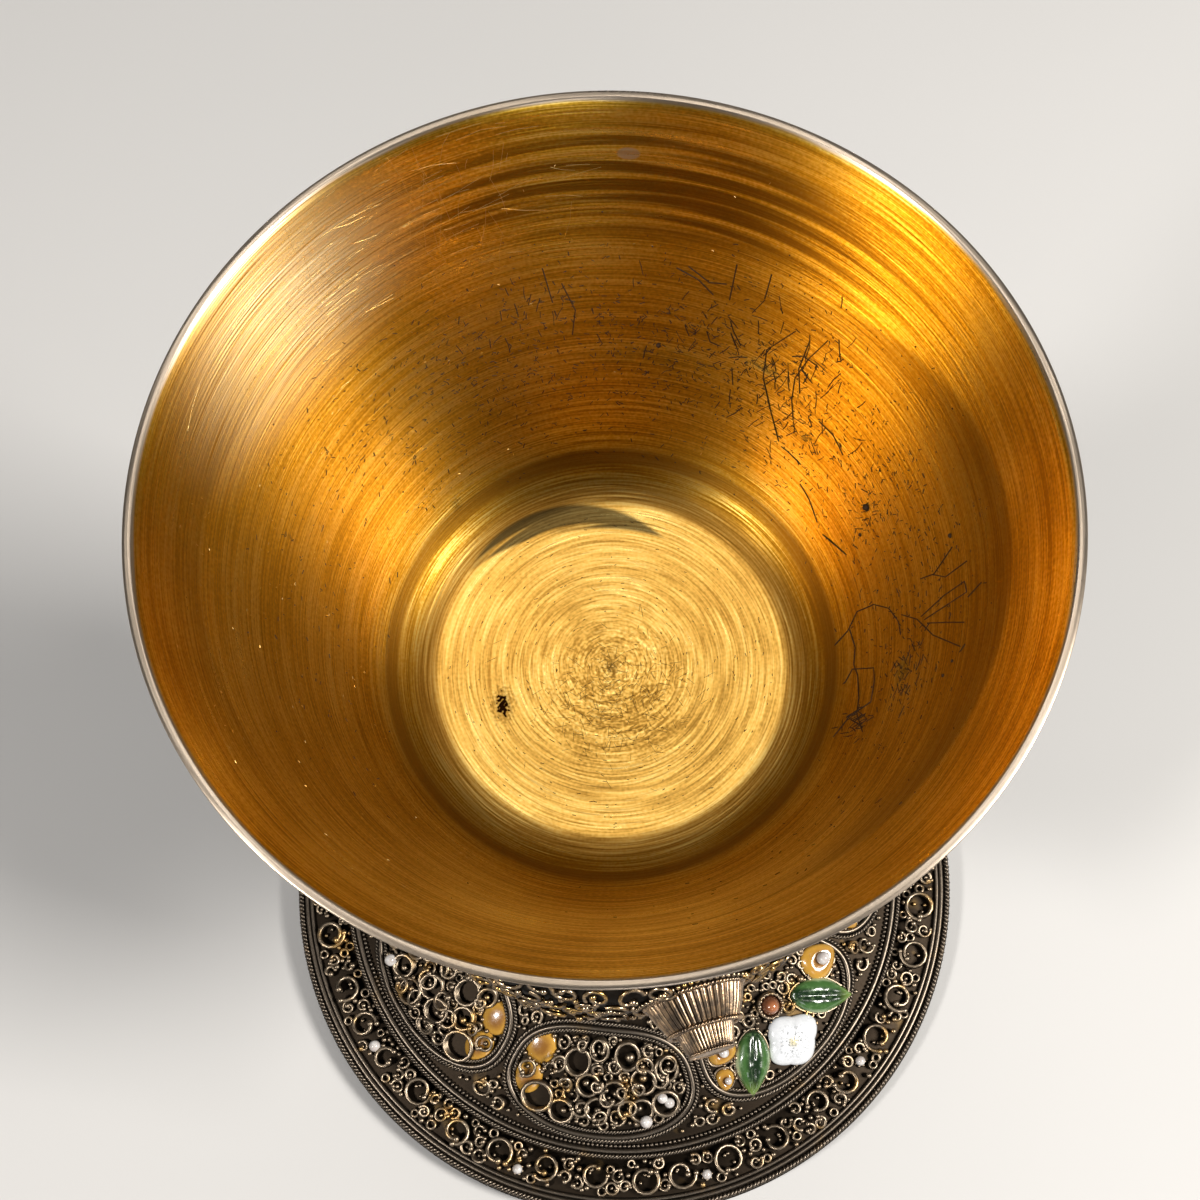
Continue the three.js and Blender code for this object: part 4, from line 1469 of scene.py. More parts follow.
@dataclass
class Calyx:
    """The shell of petals around the lower bowl, with corded edges."""

    bowl: Bowl
    finishes: Finishes
    petals: int = 8
    crest: float = 23 * MM
    petal_height: float = 6 * MM
    wall: float = 1.8 * MM
    gap: float = 0.3 * MM
    base_radius: float = 13.5 * MM
    seat_radius: float = 21 * MM

    def __post_init__(self) -> None:
        """Finds the two sides of the shell."""
        inner = [p for p in self.bowl.inner() if p.x >= self.bowl.floor_radius]
        self.near = moved_out(inner, self.bowl.wall + self.gap)
        self.far = moved_out(inner, self.bowl.wall + self.gap + self.wall)
        self.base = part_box("calyx")[0].z

    def _crest(self, azimuth: float) -> float:
        """The height of the petals' edge at an azimuth."""
        lobe = abs(math.cos(self.petals * azimuth / 2))
        return self.bowl.floor + self.crest - self.petal_height * (1 - lobe)

    def _edge(self, x: float, y: float, lift: float) -> Vector:
        """A point by the petals' edge: x is an azimuth; y, up from the edge, and lift are in millimetres."""
        height = self._crest(x) + y * MM
        return polar(radius_at(self.far, height) + lift * MM, x, height)

    def _petal(self, azimuth: float) -> Lay:
        """Flat measures about the middle of a petal."""
        middle = self.bowl.floor + 12 * MM
        radius = radius_at(self.far, middle)

        def lay(x: float, y: float, lift: float) -> Vector:
            """A point on the petal."""
            height = middle + y * MM
            return polar(radius_at(self.far, height) + lift * MM, azimuth + x * MM / radius, height)

        return lay

    def build(self) -> None:
        """Makes the shell and its trim."""
        top = self.bowl.floor + self.crest
        outer = [p for p in self.far[::2] if p.y < top - 0.6 * MM]
        inner = [p for p in self.near[::2] if p.y < top - 0.6 * MM]
        crown = [
            Vector((radius_at(self.far, top) - 0.2 * MM, top)),
            Vector((radius_at(self.near, top) + 0.2 * MM, top)),
        ]
        foot = curve_points(
            (self.base_radius, self.base),
            (self.base_radius + 1 * MM, self.base + 3.5 * MM),
            (self.base_radius + 4 * MM, outer[0].y),
            tuple(outer[0]),
            10,
        )
        seat = [Vector((self.seat_radius, inner[0].y)), Vector((self.seat_radius, self.bowl.base))]
        axis = [Vector((0.0, self.base)), Vector((0.0, self.bowl.base))]
        profile = [axis[0], *foot[:-1], *outer, *crown, *reversed(inner), *seat, axis[1]]
        mesh = turn(profile, 24 * self.petals)
        self._lobe(mesh, top)
        add_piece("calyx_shell", mesh, [self.finishes.silver], ["calyx"])
        self._trim()

    def _lobe(self, mesh: Mesh, top: float) -> None:
        """Draws the shell's edge down between the petals."""
        start = self.bowl.floor + 4 * MM
        for vertex in mesh.verts:
            if vertex.co.z <= start:
                continue
            azimuth = math.atan2(vertex.co.x, -vertex.co.y)
            depth = vertex.co.xy.length - radius_at(self.near, vertex.co.z)
            height = start + (vertex.co.z - start) / (top - start) * (self._crest(azimuth) - start)
            vertex.co = polar(radius_at(self.near, height) + depth, azimuth, height)

    def _trim(self) -> None:
        """Adds the corded edge, the petals' outlines, scrolls and beads."""
        work = Filigree(random.Random(5))
        around = angles(240)
        work.cords += twisted(laid_rail(self._edge, [(a, -0.9) for a in around], 0.15), 0.32, 1.9)
        work.wires.append(loop(laid_rail(self._edge, [(a, -2.3) for a in around], 0.1), 0.26))
        for petal in range(self.petals):
            lay = self._petal(FULL_TURN * petal / self.petals)
            work.cords += twisted(laid_rail(lay, ellipse(9, 5.6, -0.8, 40), 0.2), 0.22, 1.4)
            for hand in (-1, 1):
                work.scroll(lay, hand * 3.4, -0.8, 2.5, 0.26, 0.3)
                work.granule(lay, hand * 6.7, -0.4, 0.5)
            work.rosette(lay, 0, 2.6, 0.7)
            work.granule(lay, 0, -4.3, 0.55)
        work.add("calyx_cording", self.finishes.wire, "bright_silver")


@dataclass
class Stem:
    """The two turned collars, over and under the knop."""

    finishes: Finishes

    LOWER = (
        (13.0, 0.0), (14.0, 0.06), (14.0, 0.22), (8.5, 0.30), (10.5, 0.42), (12.5, 0.62),
        (10.2, 0.74), (8.5, 0.82), (11.5, 0.92), (11.5, 1.0),
    )
    UPPER = ((11.5, 0.0), (11.5, 0.15), (8.5, 0.32), (8.5, 0.5), (14.0, 0.72), (14.0, 0.88), (13.5, 1.0))

    def build(self) -> None:
        """Makes both collars."""
        self._collar("lower_collar", self.LOWER, ((14.0, 0.14), (11.6, 0.95)))
        self._collar("upper_collar", self.UPPER, ((11.5, 0.08), (14.0, 0.80)))

    def _collar(self, node: str, shares: Sequence[Point], rings: Sequence[Point]) -> None:
        """Makes one collar and the beading on it.

        Args:
            node: The frame's node.
            shares: Radii in millimetres and shares of the height.
            rings: The beadings' radii and shares of the height.
        """
        low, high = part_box(node)
        tall = high.z - low.z
        profile = [(0.0, low.z)]
        for (radius, share), (next_radius, next_share) in zip(shares, shares[1:]):
            for step in range(6):
                part = step / 6
                eased = part * part * (3 - 2 * part)
                at_radius = (radius + (next_radius - radius) * eased) * MM
                profile.append((at_radius, low.z + tall * (share + (next_share - share) * part)))
        profile += [(shares[-1][0] * MM, high.z), (0.0, high.z)]
        add_piece(f"{node}_turning", turn(profile, 96), [self.finishes.silver], [node])
        work = Filigree(random.Random(3))
        for radius, share in rings:
            height = low.z + tall * share
            work.balls += strung(ring_rail(radius * MM, height, 90), 0.49, 1.15)
            for side in (-1, 1):
                work.wires.append(loop(ring_rail((radius - 0.1) * MM, height + side * 0.8 * MM, 90), 0.25))
        work.add(f"{node}_beading", self.finishes.wire, "bright_silver")


@dataclass
class Knop:
    """The knop under the bowl: lace of wire and granules over a dark body, and fluted bosses."""

    finishes: Finishes
    boss_count: int = 4
    boss_azimuth: float = math.radians(14)
    ribs: int = 44
    land: float = 37.7 * MM

    BOSS = (
        (0.0, -1.0), (7.0, -1.0), (7.3, 0.0), (7.4, 0.3), (7.3, 0.8), (6.9, 1.8),
        (6.4, 3.0), (5.8, 4.2), (5.4, 4.9), (5.2, 5.2), (4.4, 5.2), (4.3, 5.5),
        (4.1, 6.2), (3.8, 7.2), (3.5, 8.1), (3.2, 8.7), (2.4, 8.8), (0.0, 8.6),
    )
    BOSS_CORDS = ((7.3, 0.25, 0.28), (5.3, 5.2, 0.22), (3.2, 8.6, 0.18))
    BOSS_REACH = 9.6 * MM
    ROWS = 7
    ROW_STEP = 4.1 * MM
    UNIT_STEP = 4.3 * MM

    def __post_init__(self) -> None:
        """Finds the knop's surface."""
        self.surface = KnopSurface()

    def build(self) -> None:
        """Makes the body, the lace and the bosses."""
        reach = self.surface.lengths[-1] * 0.999
        profile = [self.surface.section(reach * (k / 26 - 1))[0] for k in range(53)]
        bottom, top = Vector((0.0, profile[0].y)), Vector((0.0, profile[-1].y))
        body = turn([bottom, *profile, top], 120)
        add_piece("knop_body", body, [self.finishes.ground], ["knop"])
        self._lace()
        for number in range(self.boss_count):
            self._boss(number)

    def _boss_place(self, number: int) -> float:
        """The azimuth of a boss."""
        return self.boss_azimuth + FULL_TURN * number / self.boss_count

    def _under_boss(self, azimuth: float, length: float) -> bool:
        """True if a place on the knop is covered by a boss or its ring."""
        for number in range(self.boss_count):
            gap = (azimuth - self._boss_place(number) + math.pi) % FULL_TURN - math.pi
            if math.hypot(gap * self.surface.radius, length) < self.BOSS_REACH:
                return True
        return False

    def _lace(self) -> None:
        """Covers the knop with rows of scrolls, hoops and granules."""
        chance = random.Random(21)
        work = Filigree(chance)
        for row in range(-self.ROWS, self.ROWS + 1):
            length = row * self.ROW_STEP
            radius = self.surface.section(length)[0].x
            count = round(FULL_TURN * radius / self.UNIT_STEP)
            for place in range(count):
                azimuth = FULL_TURN * (place + 0.5 * (row % 2)) / count
                if not self._under_boss(azimuth, length):
                    self._lace_unit(work, self.surface.field(azimuth, length))
        for number in range(self.boss_count):
            here = self.surface.field(self._boss_place(number), 0.0)
            work.balls += strung(laid_rail(here, oval_path(8.8, 8.8, 2.0, 48), 0.3), 0.45, 0.95)
        for side in (-1, 1):
            edge = [self.surface.at(angle, side * 31.5 * MM, 0.25 * MM) for angle in angles(120)]
            work.cords += twisted([(point, Vector((0, 0, side))) for point in edge], 0.3, 1.7)
        work.add("knop_lace", self.finishes.lace, "bright_silver")

    @staticmethod
    def _lace_unit(work: Filigree, lay: Lay) -> None:
        """Adds one scroll or hoop with its granules."""
        chance = work.chance
        x, y = chance.uniform(-0.4, 0.4), chance.uniform(-0.4, 0.4)
        if chance.random() < 0.75:
            radius, start = chance.uniform(1.7, 2.2), chance.uniform(0, FULL_TURN)
            sweep = chance.choice((-1, 1)) * chance.uniform(1.4, 2.4) * math.pi
            inner, lift, tilt = chance.uniform(0.3, 0.6), chance.uniform(0.5, 0.9), chance.uniform(-0.4, 0.4)
            points = work.arc(lay, x, y, radius, start, sweep, inner, lift, tilt)
            work.cords.append(Run(points, 0.36))
            work.balls.append((points[-1], 0.56))
        else:
            work.cords.append(Run(work.arc(lay, x, y, 1.35, 0, FULL_TURN, 1, 0.5)[:-1], 0.34, True))
            work.granule(lay, x, y, 0.7)
        angle = chance.uniform(0, FULL_TURN)
        work.granule(lay, x + 2.3 * math.cos(angle), y + 2.3 * math.sin(angle), chance.uniform(0.38, 0.6))

    def _pleat(self, place: Vector) -> float:
        """How far out of the grooves a place on a boss is: 0 in a groove and 1 on a pleat."""
        return abs(math.cos(self.ribs * math.atan2(place.x, -place.y) / 2)) ** 0.7

    def _boss(self, number: int) -> None:
        """Makes one fluted boss of two tiers, with cords along its steps.

        Args:
            number: Which boss, from 0.
        """
        mesh = turn([(radius * MM, height * MM) for radius, height in self.BOSS], self.ribs * 4)
        layer = mesh.loops.layers.uv.new("pleats")
        for vertex in mesh.verts:
            lobe = self._pleat(vertex.co)
            vertex.co.xy *= 1 - 0.075 * (1 - lobe) * min(1.0, vertex.co.xy.length / (2.6 * MM))
        for face in mesh.faces:
            for corner in face.loops:
                corner[layer].uv = (self._pleat(corner.vert.co), corner.vert.co.z / (9 * MM))
        cords = bmesh.new()
        cord_layer = cords.loops.layers.uv.new("pleats")
        runs = []
        for radius, height, strand in self.BOSS_CORDS:
            runs += twisted(ring_rail(radius * MM, height * MM, 48), strand, strand * 4.5)
        add_wires(cords, runs, 0)
        for face in cords.faces:
            for corner in face.loops:
                corner[cord_layer].uv = (0.9, 0.5)
        add_mesh(mesh, cords)
        azimuth = self._boss_place(number)
        land = polar(self.land, azimuth, self.surface.middle)
        mesh.transform(facing_out(azimuth, polar(1.0, azimuth, 0.0), land))
        node = f"knop_boss_{number + 1}"
        add_piece(f"fluted_boss_{number + 1}", mesh, [self.finishes.fluted], [node])


@dataclass
class Foot:
    """The foot: its shell, the wires of its rings, and the band of scrolls around its edge."""

    surface: FootSurface
    finishes: Finishes
    wall: float = 1.6 * MM
    bearing: float = 6 * MM
    units: int = 40
    shoulder: float = 20.5
    SIZES = ((1.25, 1800), (0.9, 1500), (0.55, 1500))

    def build(self) -> None:
        """Makes the foot and its trim."""
        surface = self.surface
        r, top, band = surface.radius, surface.height, surface.band_height
        outside = [
            (0.0, top), (13 * MM, top), (13 * MM, top - 3.6 * MM), (12.4 * MM, top - 4.2 * MM),
            *reversed([tuple(p) for p in surface.dome]),
            (surface.dome_radius + 0.2 * MM, surface.dome_height),
            (surface.ring_outer - 0.2 * MM, surface.dome_height),
            (surface.ring_outer, band), (r - 2.2 * MM, band), (r - 0.5 * MM, band - 0.4 * MM),
            (r - 0.1 * MM, 2.6 * MM), (r - 0.1 * MM, 0.5 * MM), (r - 0.6 * MM, 0.0), (r - self.bearing, 0.0),
        ]
        under = [tuple(p) for p in moved_out(surface.dome, -self.wall)[::2] if p.y < top - 8 * MM]
        inside = [(r - self.bearing - 0.5 * MM, band - self.wall), *under, (0.0, under[-1][1] + MM)]
        shell = turn([*outside, *inside], 180)
        add_piece("foot_shell", shell, [self.finishes.ground], ["foot"])
        self._rings()
        self._band()
        self._shoulder()

    def _rings(self) -> None:
        """Adds the smooth, the corded and the beaded wires around the dome and around the edge."""
        surface = self.surface
        work = Filigree(random.Random(2))
        height = surface.dome_height + 0.3 * MM
        work.wires.append(loop(ring_rail(surface.dome_radius + 1.35 * MM, height, 200), 0.5))
        work.balls += strung(ring_rail(surface.dome_radius + 0.45 * MM, height, 200), 0.40, 0.84)
        work.cords += twisted(ring_rail(surface.ring_outer - 0.45 * MM, height, 200), 0.25, 1.3)
        work.add("ring_wires", self.finishes.edge, "dark_silver")
        rim = Filigree(random.Random(2))
        edge, band = surface.radius, surface.band_height
        rim.wires.append(loop(ring_rail(edge - 2.75 * MM, band + 0.3 * MM, 240), 0.42))
        rim.wires.append(loop(ring_rail(edge - 1.85 * MM, band + 0.15 * MM, 240), 0.46))
        rim.cords += twisted(ring_rail(edge - 0.72 * MM, band - 0.1 * MM, 240), 0.34, 1.5)
        rim.add("rim_wires", self.finishes.edge, "dark_silver")

    def _band(self) -> None:
        """Fills the band with standing scrolls, clusters of granules and small rosettes."""
        chance = random.Random(77)
        work = Filigree(chance)
        middle = (self.surface.ring_outer + self.surface.radius - 3.2 * MM) / 2
        lay = self.surface.field(0.0, middle)
        around = math.pi * middle / MM
        taken: list[Circle] = []
        for unit in range(self.units):
            x = -around + 2 * around * (unit + chance.uniform(-0.14, 0.14)) / self.units
            y, size = chance.uniform(-0.7, 0.7), chance.uniform(2.1, 2.7)
            wire = chance.uniform(0.36, 0.44)
            sweep = chance.choice((-1, 1)) * chance.uniform(1.5, 2.3) * math.pi
            start, inner = chance.uniform(0, FULL_TURN), chance.uniform(0.4, 0.75)
            tilt = chance.uniform(-0.5, 0.5)
            for lift in (0.6, 1.3):
                points = work.arc(lay, x, y, size, start, sweep, inner, lift, tilt * lift)
                work.wires.append(Run(points, wire))
            work.balls += [(points[0], wire * 1.5), (points[-1], wire * 1.7)]
            for _ in range(3):
                angle, reach = chance.uniform(0, FULL_TURN), size * 0.4
                work.granule(lay, x + reach * math.cos(angle), y + reach * math.sin(angle), 0.42)
            taken.append((x, y, size + 0.3))
            if unit % 4 == 1:
                gap_x = x + around / self.units
                gap_y = chance.uniform(-1.8, 1.8)
                work.pearls.append((lay(gap_x, gap_y, 1.1), chance.uniform(0.8, 1.1)))
                work.rosette(lay, gap_x, gap_y, 0.8)
                taken.append((gap_x, gap_y, 1.3))
        work.fill(lay, (around, 3.3), lambda x, y, size: abs(y) + size < 3.6, taken, self.SIZES, 0.2)
        work.add("band_scrolls", self.finishes.wire, "bright_silver")
        work.add_pearls("band_pearls", self.finishes.pearl)

    def _shoulder(self) -> None:
        """Adds seven corded lobes and beads on the upper dome, under the knop."""
        work = Filigree(random.Random(8))
        count = Medallions.COUNT
        for number in range(count):
            lay = self.surface.field(Medallions.azimuth(number), self.shoulder * MM)
            path = ellipse(math.pi / count * 0.86 * self.shoulder, 6.2, 0.0, 48)
            work.cords += twisted(laid_rail(lay, path, 0.25), 0.28, 1.6)
            work.rosette(lay, 0, 0, 1.1)
            for hand in (-1, 1):
                work.scroll(lay, hand * 4.1, 0.4, 1.9, 0.27, 0.4)
            work.granule(lay, math.pi / count * self.shoulder, 5.5, 0.8)
        work.add("shoulder_cording", self.finishes.wire, "bright_silver")


@dataclass
class Medallions:
    """The ring of seven oval medallions on the foot: three of filigree and four of enamel."""

    surface: FootSurface
    finishes: Finishes
    half_width: float = 17.2
    half_depth: float = 10.2
    squareness: float = 2.5
    shift: float = 0.8
    COUNT = 7
    FIRST = math.radians(-9)
    ENAMELLED = (1, 2, 4, 5)
    BALL_IN = 2
    TUBES = ((-4.7, -2.4, 2.8), (-10.0, 5.4, 2.85), (5.0, -4.2, 2.8), (11.0, 4.6, 2.5))
    PATCHES = ((-12.4, -2.6, 3.4), (-12.6, 3.2, 3.2))
    PEARLS = ((7.6, 7.2, 1.15), (10.6, 3.6, 0.95), (11.6, 4.6, 0.95))
    REACH = (15.0, 10.0)
    SIZES = ((2.3, 260), (1.6, 600), (1.2, 900), (0.85, 700), (0.5, 600))
    UPPER_SIZES = ((1.7, 60), (1.3, 60))
    SPANDREL_SIZES = ((1.5, 200), (1.15, 300), (0.85, 300), (0.5, 400))

    @classmethod
    def azimuth(cls, number: int) -> float:
        """The azimuth of a medallion's middle."""
        return cls.FIRST + FULL_TURN * number / cls.COUNT

    def build(self) -> None:
        """Makes every medallion and the ground between them."""
        filigree_number = inlay_number = 0
        for number in range(self.COUNT):
            lay = self.surface.field(self.azimuth(number), self.surface.medallion_radius)
            self._frame(number, lay)
            self._spandrel(number)
            if number in self.ENAMELLED:
                inlay_number += 1
                EnamelSpray(self, inlay_number, self.azimuth(number)).build()
            else:
                filigree_number += 1
                self._filigree(filigree_number, number, lay)

    def inside(self, x: float, y: float, margin: float) -> bool:
        """True if a place is in the oval by a margin, in millimetres."""
        wide, deep = self.half_width - margin, self.half_depth - margin
        return abs(x / wide) ** self.squareness + abs((y - self.shift) / deep) ** self.squareness < 1

    def opening(self, margin: float) -> Opening:
        """Gives the test of whether a circle is in the oval by a margin, in millimetres."""
        return lambda x, y, size: self.inside(x, y, margin + size)

    def _rail(self, lay: Lay, inset: float, lift: float) -> Rail:
        """A rail around the medallion, drawn in by an inset."""
        path = oval_path(self.half_width - inset, self.half_depth - inset, self.squareness, 96)
        return laid_rail(lay, [(x, y + self.shift) for x, y in path], lift)

    def _frame(self, number: int, lay: Lay) -> None:
        """Makes a medallion's border: a smooth strip between two corded wires."""
        work = Filigree(random.Random(number))
        work.wires.append(loop(self._rail(lay, 0.95, 0.75), 0.48))
        work.cords += twisted(self._rail(lay, 0.15, 0.5), 0.27, 1.3)
        work.cords += twisted(self._rail(lay, 1.75, 0.6), 0.24, 1.2)
        node = f"medallion_frame_{number + 1}"
        work.add(f"corded_frame_{number + 1}", self.finishes.edge, "bright_silver", [node])

    def _spandrel(self, number: int) -> None:
        """Fills the ground between a medallion and the next."""
        half_step = math.pi / self.COUNT
        lay = self.surface.field(self.azimuth(number) + half_step, self.surface.medallion_radius)
        spacing, reach = half_step * self.surface.medallion_radius / MM, 10.6
        work = Filigree(random.Random(60 + number))
        work.fill(
            lay,
            (7.5, reach),
            lambda x, y, size: abs(y) + size < reach and not self.inside(spacing - abs(x), y, -0.1 - size),
            [],
            self.SPANDREL_SIZES,
        )
        work.add(f"spandrel_filigree_{number + 1}", self.finishes.wire, "bright_silver")

    def _filigree(self, count: int, number: int, lay: Lay) -> None:
        """Fills a medallion with tubes, hoops, scrolls, granules and pearls.

        Args:
            count: Which of the filigree medallions it is, from 1.
            number: Which medallion it is, from 0.
            lay: Its flat measures.
        """
        chance = random.Random(40 + number)
        work = Filigree(chance)
        taken: list[Circle] = []
        hand = 1 if number == 0 else -1
        for x, y, radius in self.TUBES:
            work.hoop(lay, hand * x, y, radius - 0.4, 0.4, 3)
            taken.append((hand * x, y, radius))
        x, y, _ = taken[self.BALL_IN]
        work.balls.append((lay(x + 0.5, y + 0.3, 1.0), 1.0))
        for x, y, radius in self.PEARLS:
            work.pearls.append((lay(hand * x, y, radius + 0.7), radius))
        taken += [(hand * x, y, radius * 0.85) for x, y, radius in self.PATCHES]
        tubes = [(x, y, 2.4) for x, y, _ in taken[: len(self.TUBES)]]
        work.fill(lay, self.REACH, self.opening(1.8), taken, self.SIZES)
        work.fill(lay, self.REACH, self.opening(1.8), tubes, self.UPPER_SIZES, 1.1)
        work.add(f"filigree_work_{count}", self.finishes.wire, "bright_silver", [f"filigree_{count}"])
        work.add_pearls(f"filigree_pearls_{count}", self.finishes.pearl)
        patches = bmesh.new()
        radius_here = self.surface.medallion_radius
        for x, y, radius in self.PATCHES:
            azimuth = self.azimuth(number) + hand * x * MM / radius_here
            seat = self.surface.seat(azimuth, radius_here + y * MM, 0.1 * MM)
            shape = Vector((radius * 0.85, radius, 0.9)) * MM
            blob = rounded(lambda p, s=shape: Vector((p.x * s.x, p.y * s.y, max(p.z, -0.2) * s.z)), 24, 12)
            add_mesh(patches, blob, seat)
        ochre = self.finishes.enamels[EnamelKind.OCHRE]
        add_piece(f"ochre_patches_{count}", patches, [ochre])


@dataclass
class EnamelSpray:
    """A medallion's spray: a white flower, two green leaves, ochre shells, and a glass bead in a collet."""

    medallions: Medallions
    number: int
    azimuth: float

    FLOWER = (-0.9, 5.4, 5.0, 2.1)
    LEAVES = ((-8.3, 4.1, 122.0, "left"), (8.0, 4.6, 55.0, "right"))
    LEAF = (12.4, 6.6, 1.8)
    SHELLS = (
        (13.0, 1.2, 24.0, 7.4, 6.2, 1.7, "shell_right"),
        (-12.2, -0.6, 150.0, 5.6, 5.0, 1.7, "shell_left"),
        (-13.6, 4.2, 110.0, 4.0, 3.2, 1.5, "shell_left_small"),
    )
    BEAD = (0.4, -1.9, 1.9, 2.9)
    COLLET = (0.6, 1.5)
    REACH = (14.3, 9.5)
    SIZES = ((1.3, 200), (0.85, 260), (0.5, 500), (0.34, 500))
    CIRCLE = [Vector((math.cos(angle), math.sin(angle), 0.0)) for angle in angles(28)]

    def _seat(self, x: float, y: float, degrees: float = 0.0, lift: float = 0.5) -> Matrix:
        """The place of a part of the spray, by its millimetres in the medallion."""
        surface = self.medallions.surface
        azimuth = self.azimuth + x * MM / surface.medallion_radius
        place = surface.seat(azimuth, surface.medallion_radius + y * MM, lift * MM)
        return place @ Matrix.Rotation(-math.radians(degrees), 4, "Z")

    @staticmethod
    def _dome(radius: float, height: float) -> Shape:
        """Gives the shape of a flat-bottomed dome of a size in millimetres."""
        return lambda point: Vector((point.x * radius, point.y * radius, max(point.z, -0.2) * height)) * MM

    def _add(
        self, name: str, kind: EnamelKind, nodes: Sequence[str], forms: Iterable[tuple[Mesh, Matrix]]
    ) -> None:
        """Adds an enamelled piece of this spray, made of forms and their places."""
        mesh = bmesh.new()
        for form, place in forms:
            add_mesh(mesh, form, place)
        finish = self.medallions.finishes.enamels[kind]
        stands_for = [f"{node}_{self.number}" for node in nodes]
        add_piece(f"{name}_{self.number}", mesh, [finish], stands_for)

    def build(self) -> None:
        """Makes the spray."""
        flower = rounded(self._petals, 60, 20), self._seat(*self.FLOWER[:2])
        self._add("white_flower", EnamelKind.WHITE, ["flower"], [flower])
        leaves = [(rounded(self._leaf, 40, 16), self._seat(*leaf[:3])) for leaf in self.LEAVES]
        self._add("green_leaves", EnamelKind.GREEN, [f"leaf_{leaf[3]}" for leaf in self.LEAVES], leaves)
        shells, pearls = [], []
        lay = self.medallions.surface.field(self.azimuth, self.medallions.surface.medallion_radius)
        for x, y, degrees, length, width, height, _ in self.SHELLS:
            shells.append((rounded(self._shell(length, width, height)), self._seat(x, y, degrees)))
            pearls.append((lay(x + 0.3, y, 1.0 + 0.75 * height), 0.17 * length))
        self._add("ochre_shells", EnamelKind.OCHRE, [shell[6] for shell in self.SHELLS], shells)
        finish = self.medallions.finishes.pearl
        add_piece(f"spray_pearls_{self.number}", ball_mesh(pearls, 16), [finish])
        bead = rounded(self._dome(*self.BEAD[2:])), self._seat(*self.BEAD[:2])
        self._add("glass_bead", EnamelKind.BROWN, ["bead"], [bead])
        self._collet()
        self._ground(lay)

    def _petals(self, point: Vector) -> Vector:
        """Shapes the flower: a squarish pillow of four uneven petals, dished towards a small knob."""
        _, _, radius, height = self.FLOWER
        flat = math.atan2(point.y, point.x)
        angle = flat + 0.39 + 0.35 * self.number
        reach = min(1.0, point.xy.length)
        lobe = abs(math.sin(2 * angle))
        square = (abs(math.cos(angle)) ** 3.4 + abs(math.sin(angle)) ** 3.4) ** (-1 / 3.4)
        uneven = 0.05 * math.sin(angle + 1.0) + 0.03 * math.sin(3 * angle)
        out = radius * (0.84 * square + 0.07 * lobe**0.6 + uneven) * reach
        crease = (1 - lobe) ** 4 * reach
        rise = max(point.z, -0.15) * height * (1 - 0.22 * crease) * 0.9
        if point.z > 0:
            dish, knob = math.exp(-((reach / 0.34) ** 2)), math.exp(-((reach / 0.11) ** 2))
            rise += (0.20 * knob - 0.26 * dish) * height
        return Vector((out * 1.08 * math.cos(flat), out * math.sin(flat), rise)) * MM

    def _leaf(self, point: Vector) -> Vector:
        """Shapes a leaf: pointed ahead, rounded behind, with a sunk midrib and veins."""
        length, width, height = self.LEAF
        along = max(-1.0, min(1.0, point.x))
        half = math.sqrt(max(1e-6, 1 - along * along))
        across = max(-1.0, min(1.0, point.y / half))
        outline = (1 - max(0.0, along) ** 1.5) ** 0.95 * (1 - max(0.0, -along) ** 2.2) ** 0.6
        vein = math.cos(9 * (along - 0.35 * abs(across)) * math.pi / 2) * 0.04
        crown = (1 - abs(across) ** 2.2) ** 0.5 * outline**0.45
        rib = 0.34 * math.exp(-((across / 0.15) ** 2))
        rise = height * (crown * (1 + vein) - rib * crown) if point.z > 0 else -0.15 * height * crown
        return Vector((along * length / 2, across * outline * width / 2, rise)) * MM

    @staticmethod
    def _shell(length: float, width: float, height: float) -> Shape:
        """Gives the shape of a curled, tapering, dished shell of a size in millimetres."""

        def shape(point: Vector) -> Vector:
            """Shapes the shell."""
            taper = 1 - 0.3 * point.x
            reach = point.xy.length
            spiral = math.cos(2 * (math.atan2(point.y, point.x) - 4.5 * reach))
            dish = 0.55 * math.exp(-((reach / 0.36) ** 2)) if point.z > 0 else 0.0
            rise = max(point.z, -0.2) * height * (1 + 0.10 * spiral * reach - dish)
            return Vector((point.x * length / 2, point.y * taper * width / 2, rise)) * MM

        return shape

    def _collet(self) -> None:
        """Adds the bead's collet, with its wavy edge."""
        x, y, radius, _ = self.BEAD
        gap, tall = self.COLLET
        outer = radius + gap
        outline = (
            (outer, -0.3), (outer + 0.1, tall * 0.6), (outer, tall),
            (radius + 0.1, tall), (radius - 0.1, -0.3), (outer, -0.3),
        )
        collet = turn([(r * MM, z * MM) for r, z in outline], 60)
        for vertex in collet.verts:
            if vertex.co.z > tall * 0.9 * MM:
                vertex.co.z += 0.22 * MM * math.cos(15 * math.atan2(vertex.co.x, vertex.co.y))
        setting = bmesh.new()
        add_mesh(setting, collet, self._seat(x, y))
        finish, node = self.medallions.finishes.wire, f"collet_{self.number}"
        add_piece(f"bead_collet_{self.number}", setting, [finish], [node])

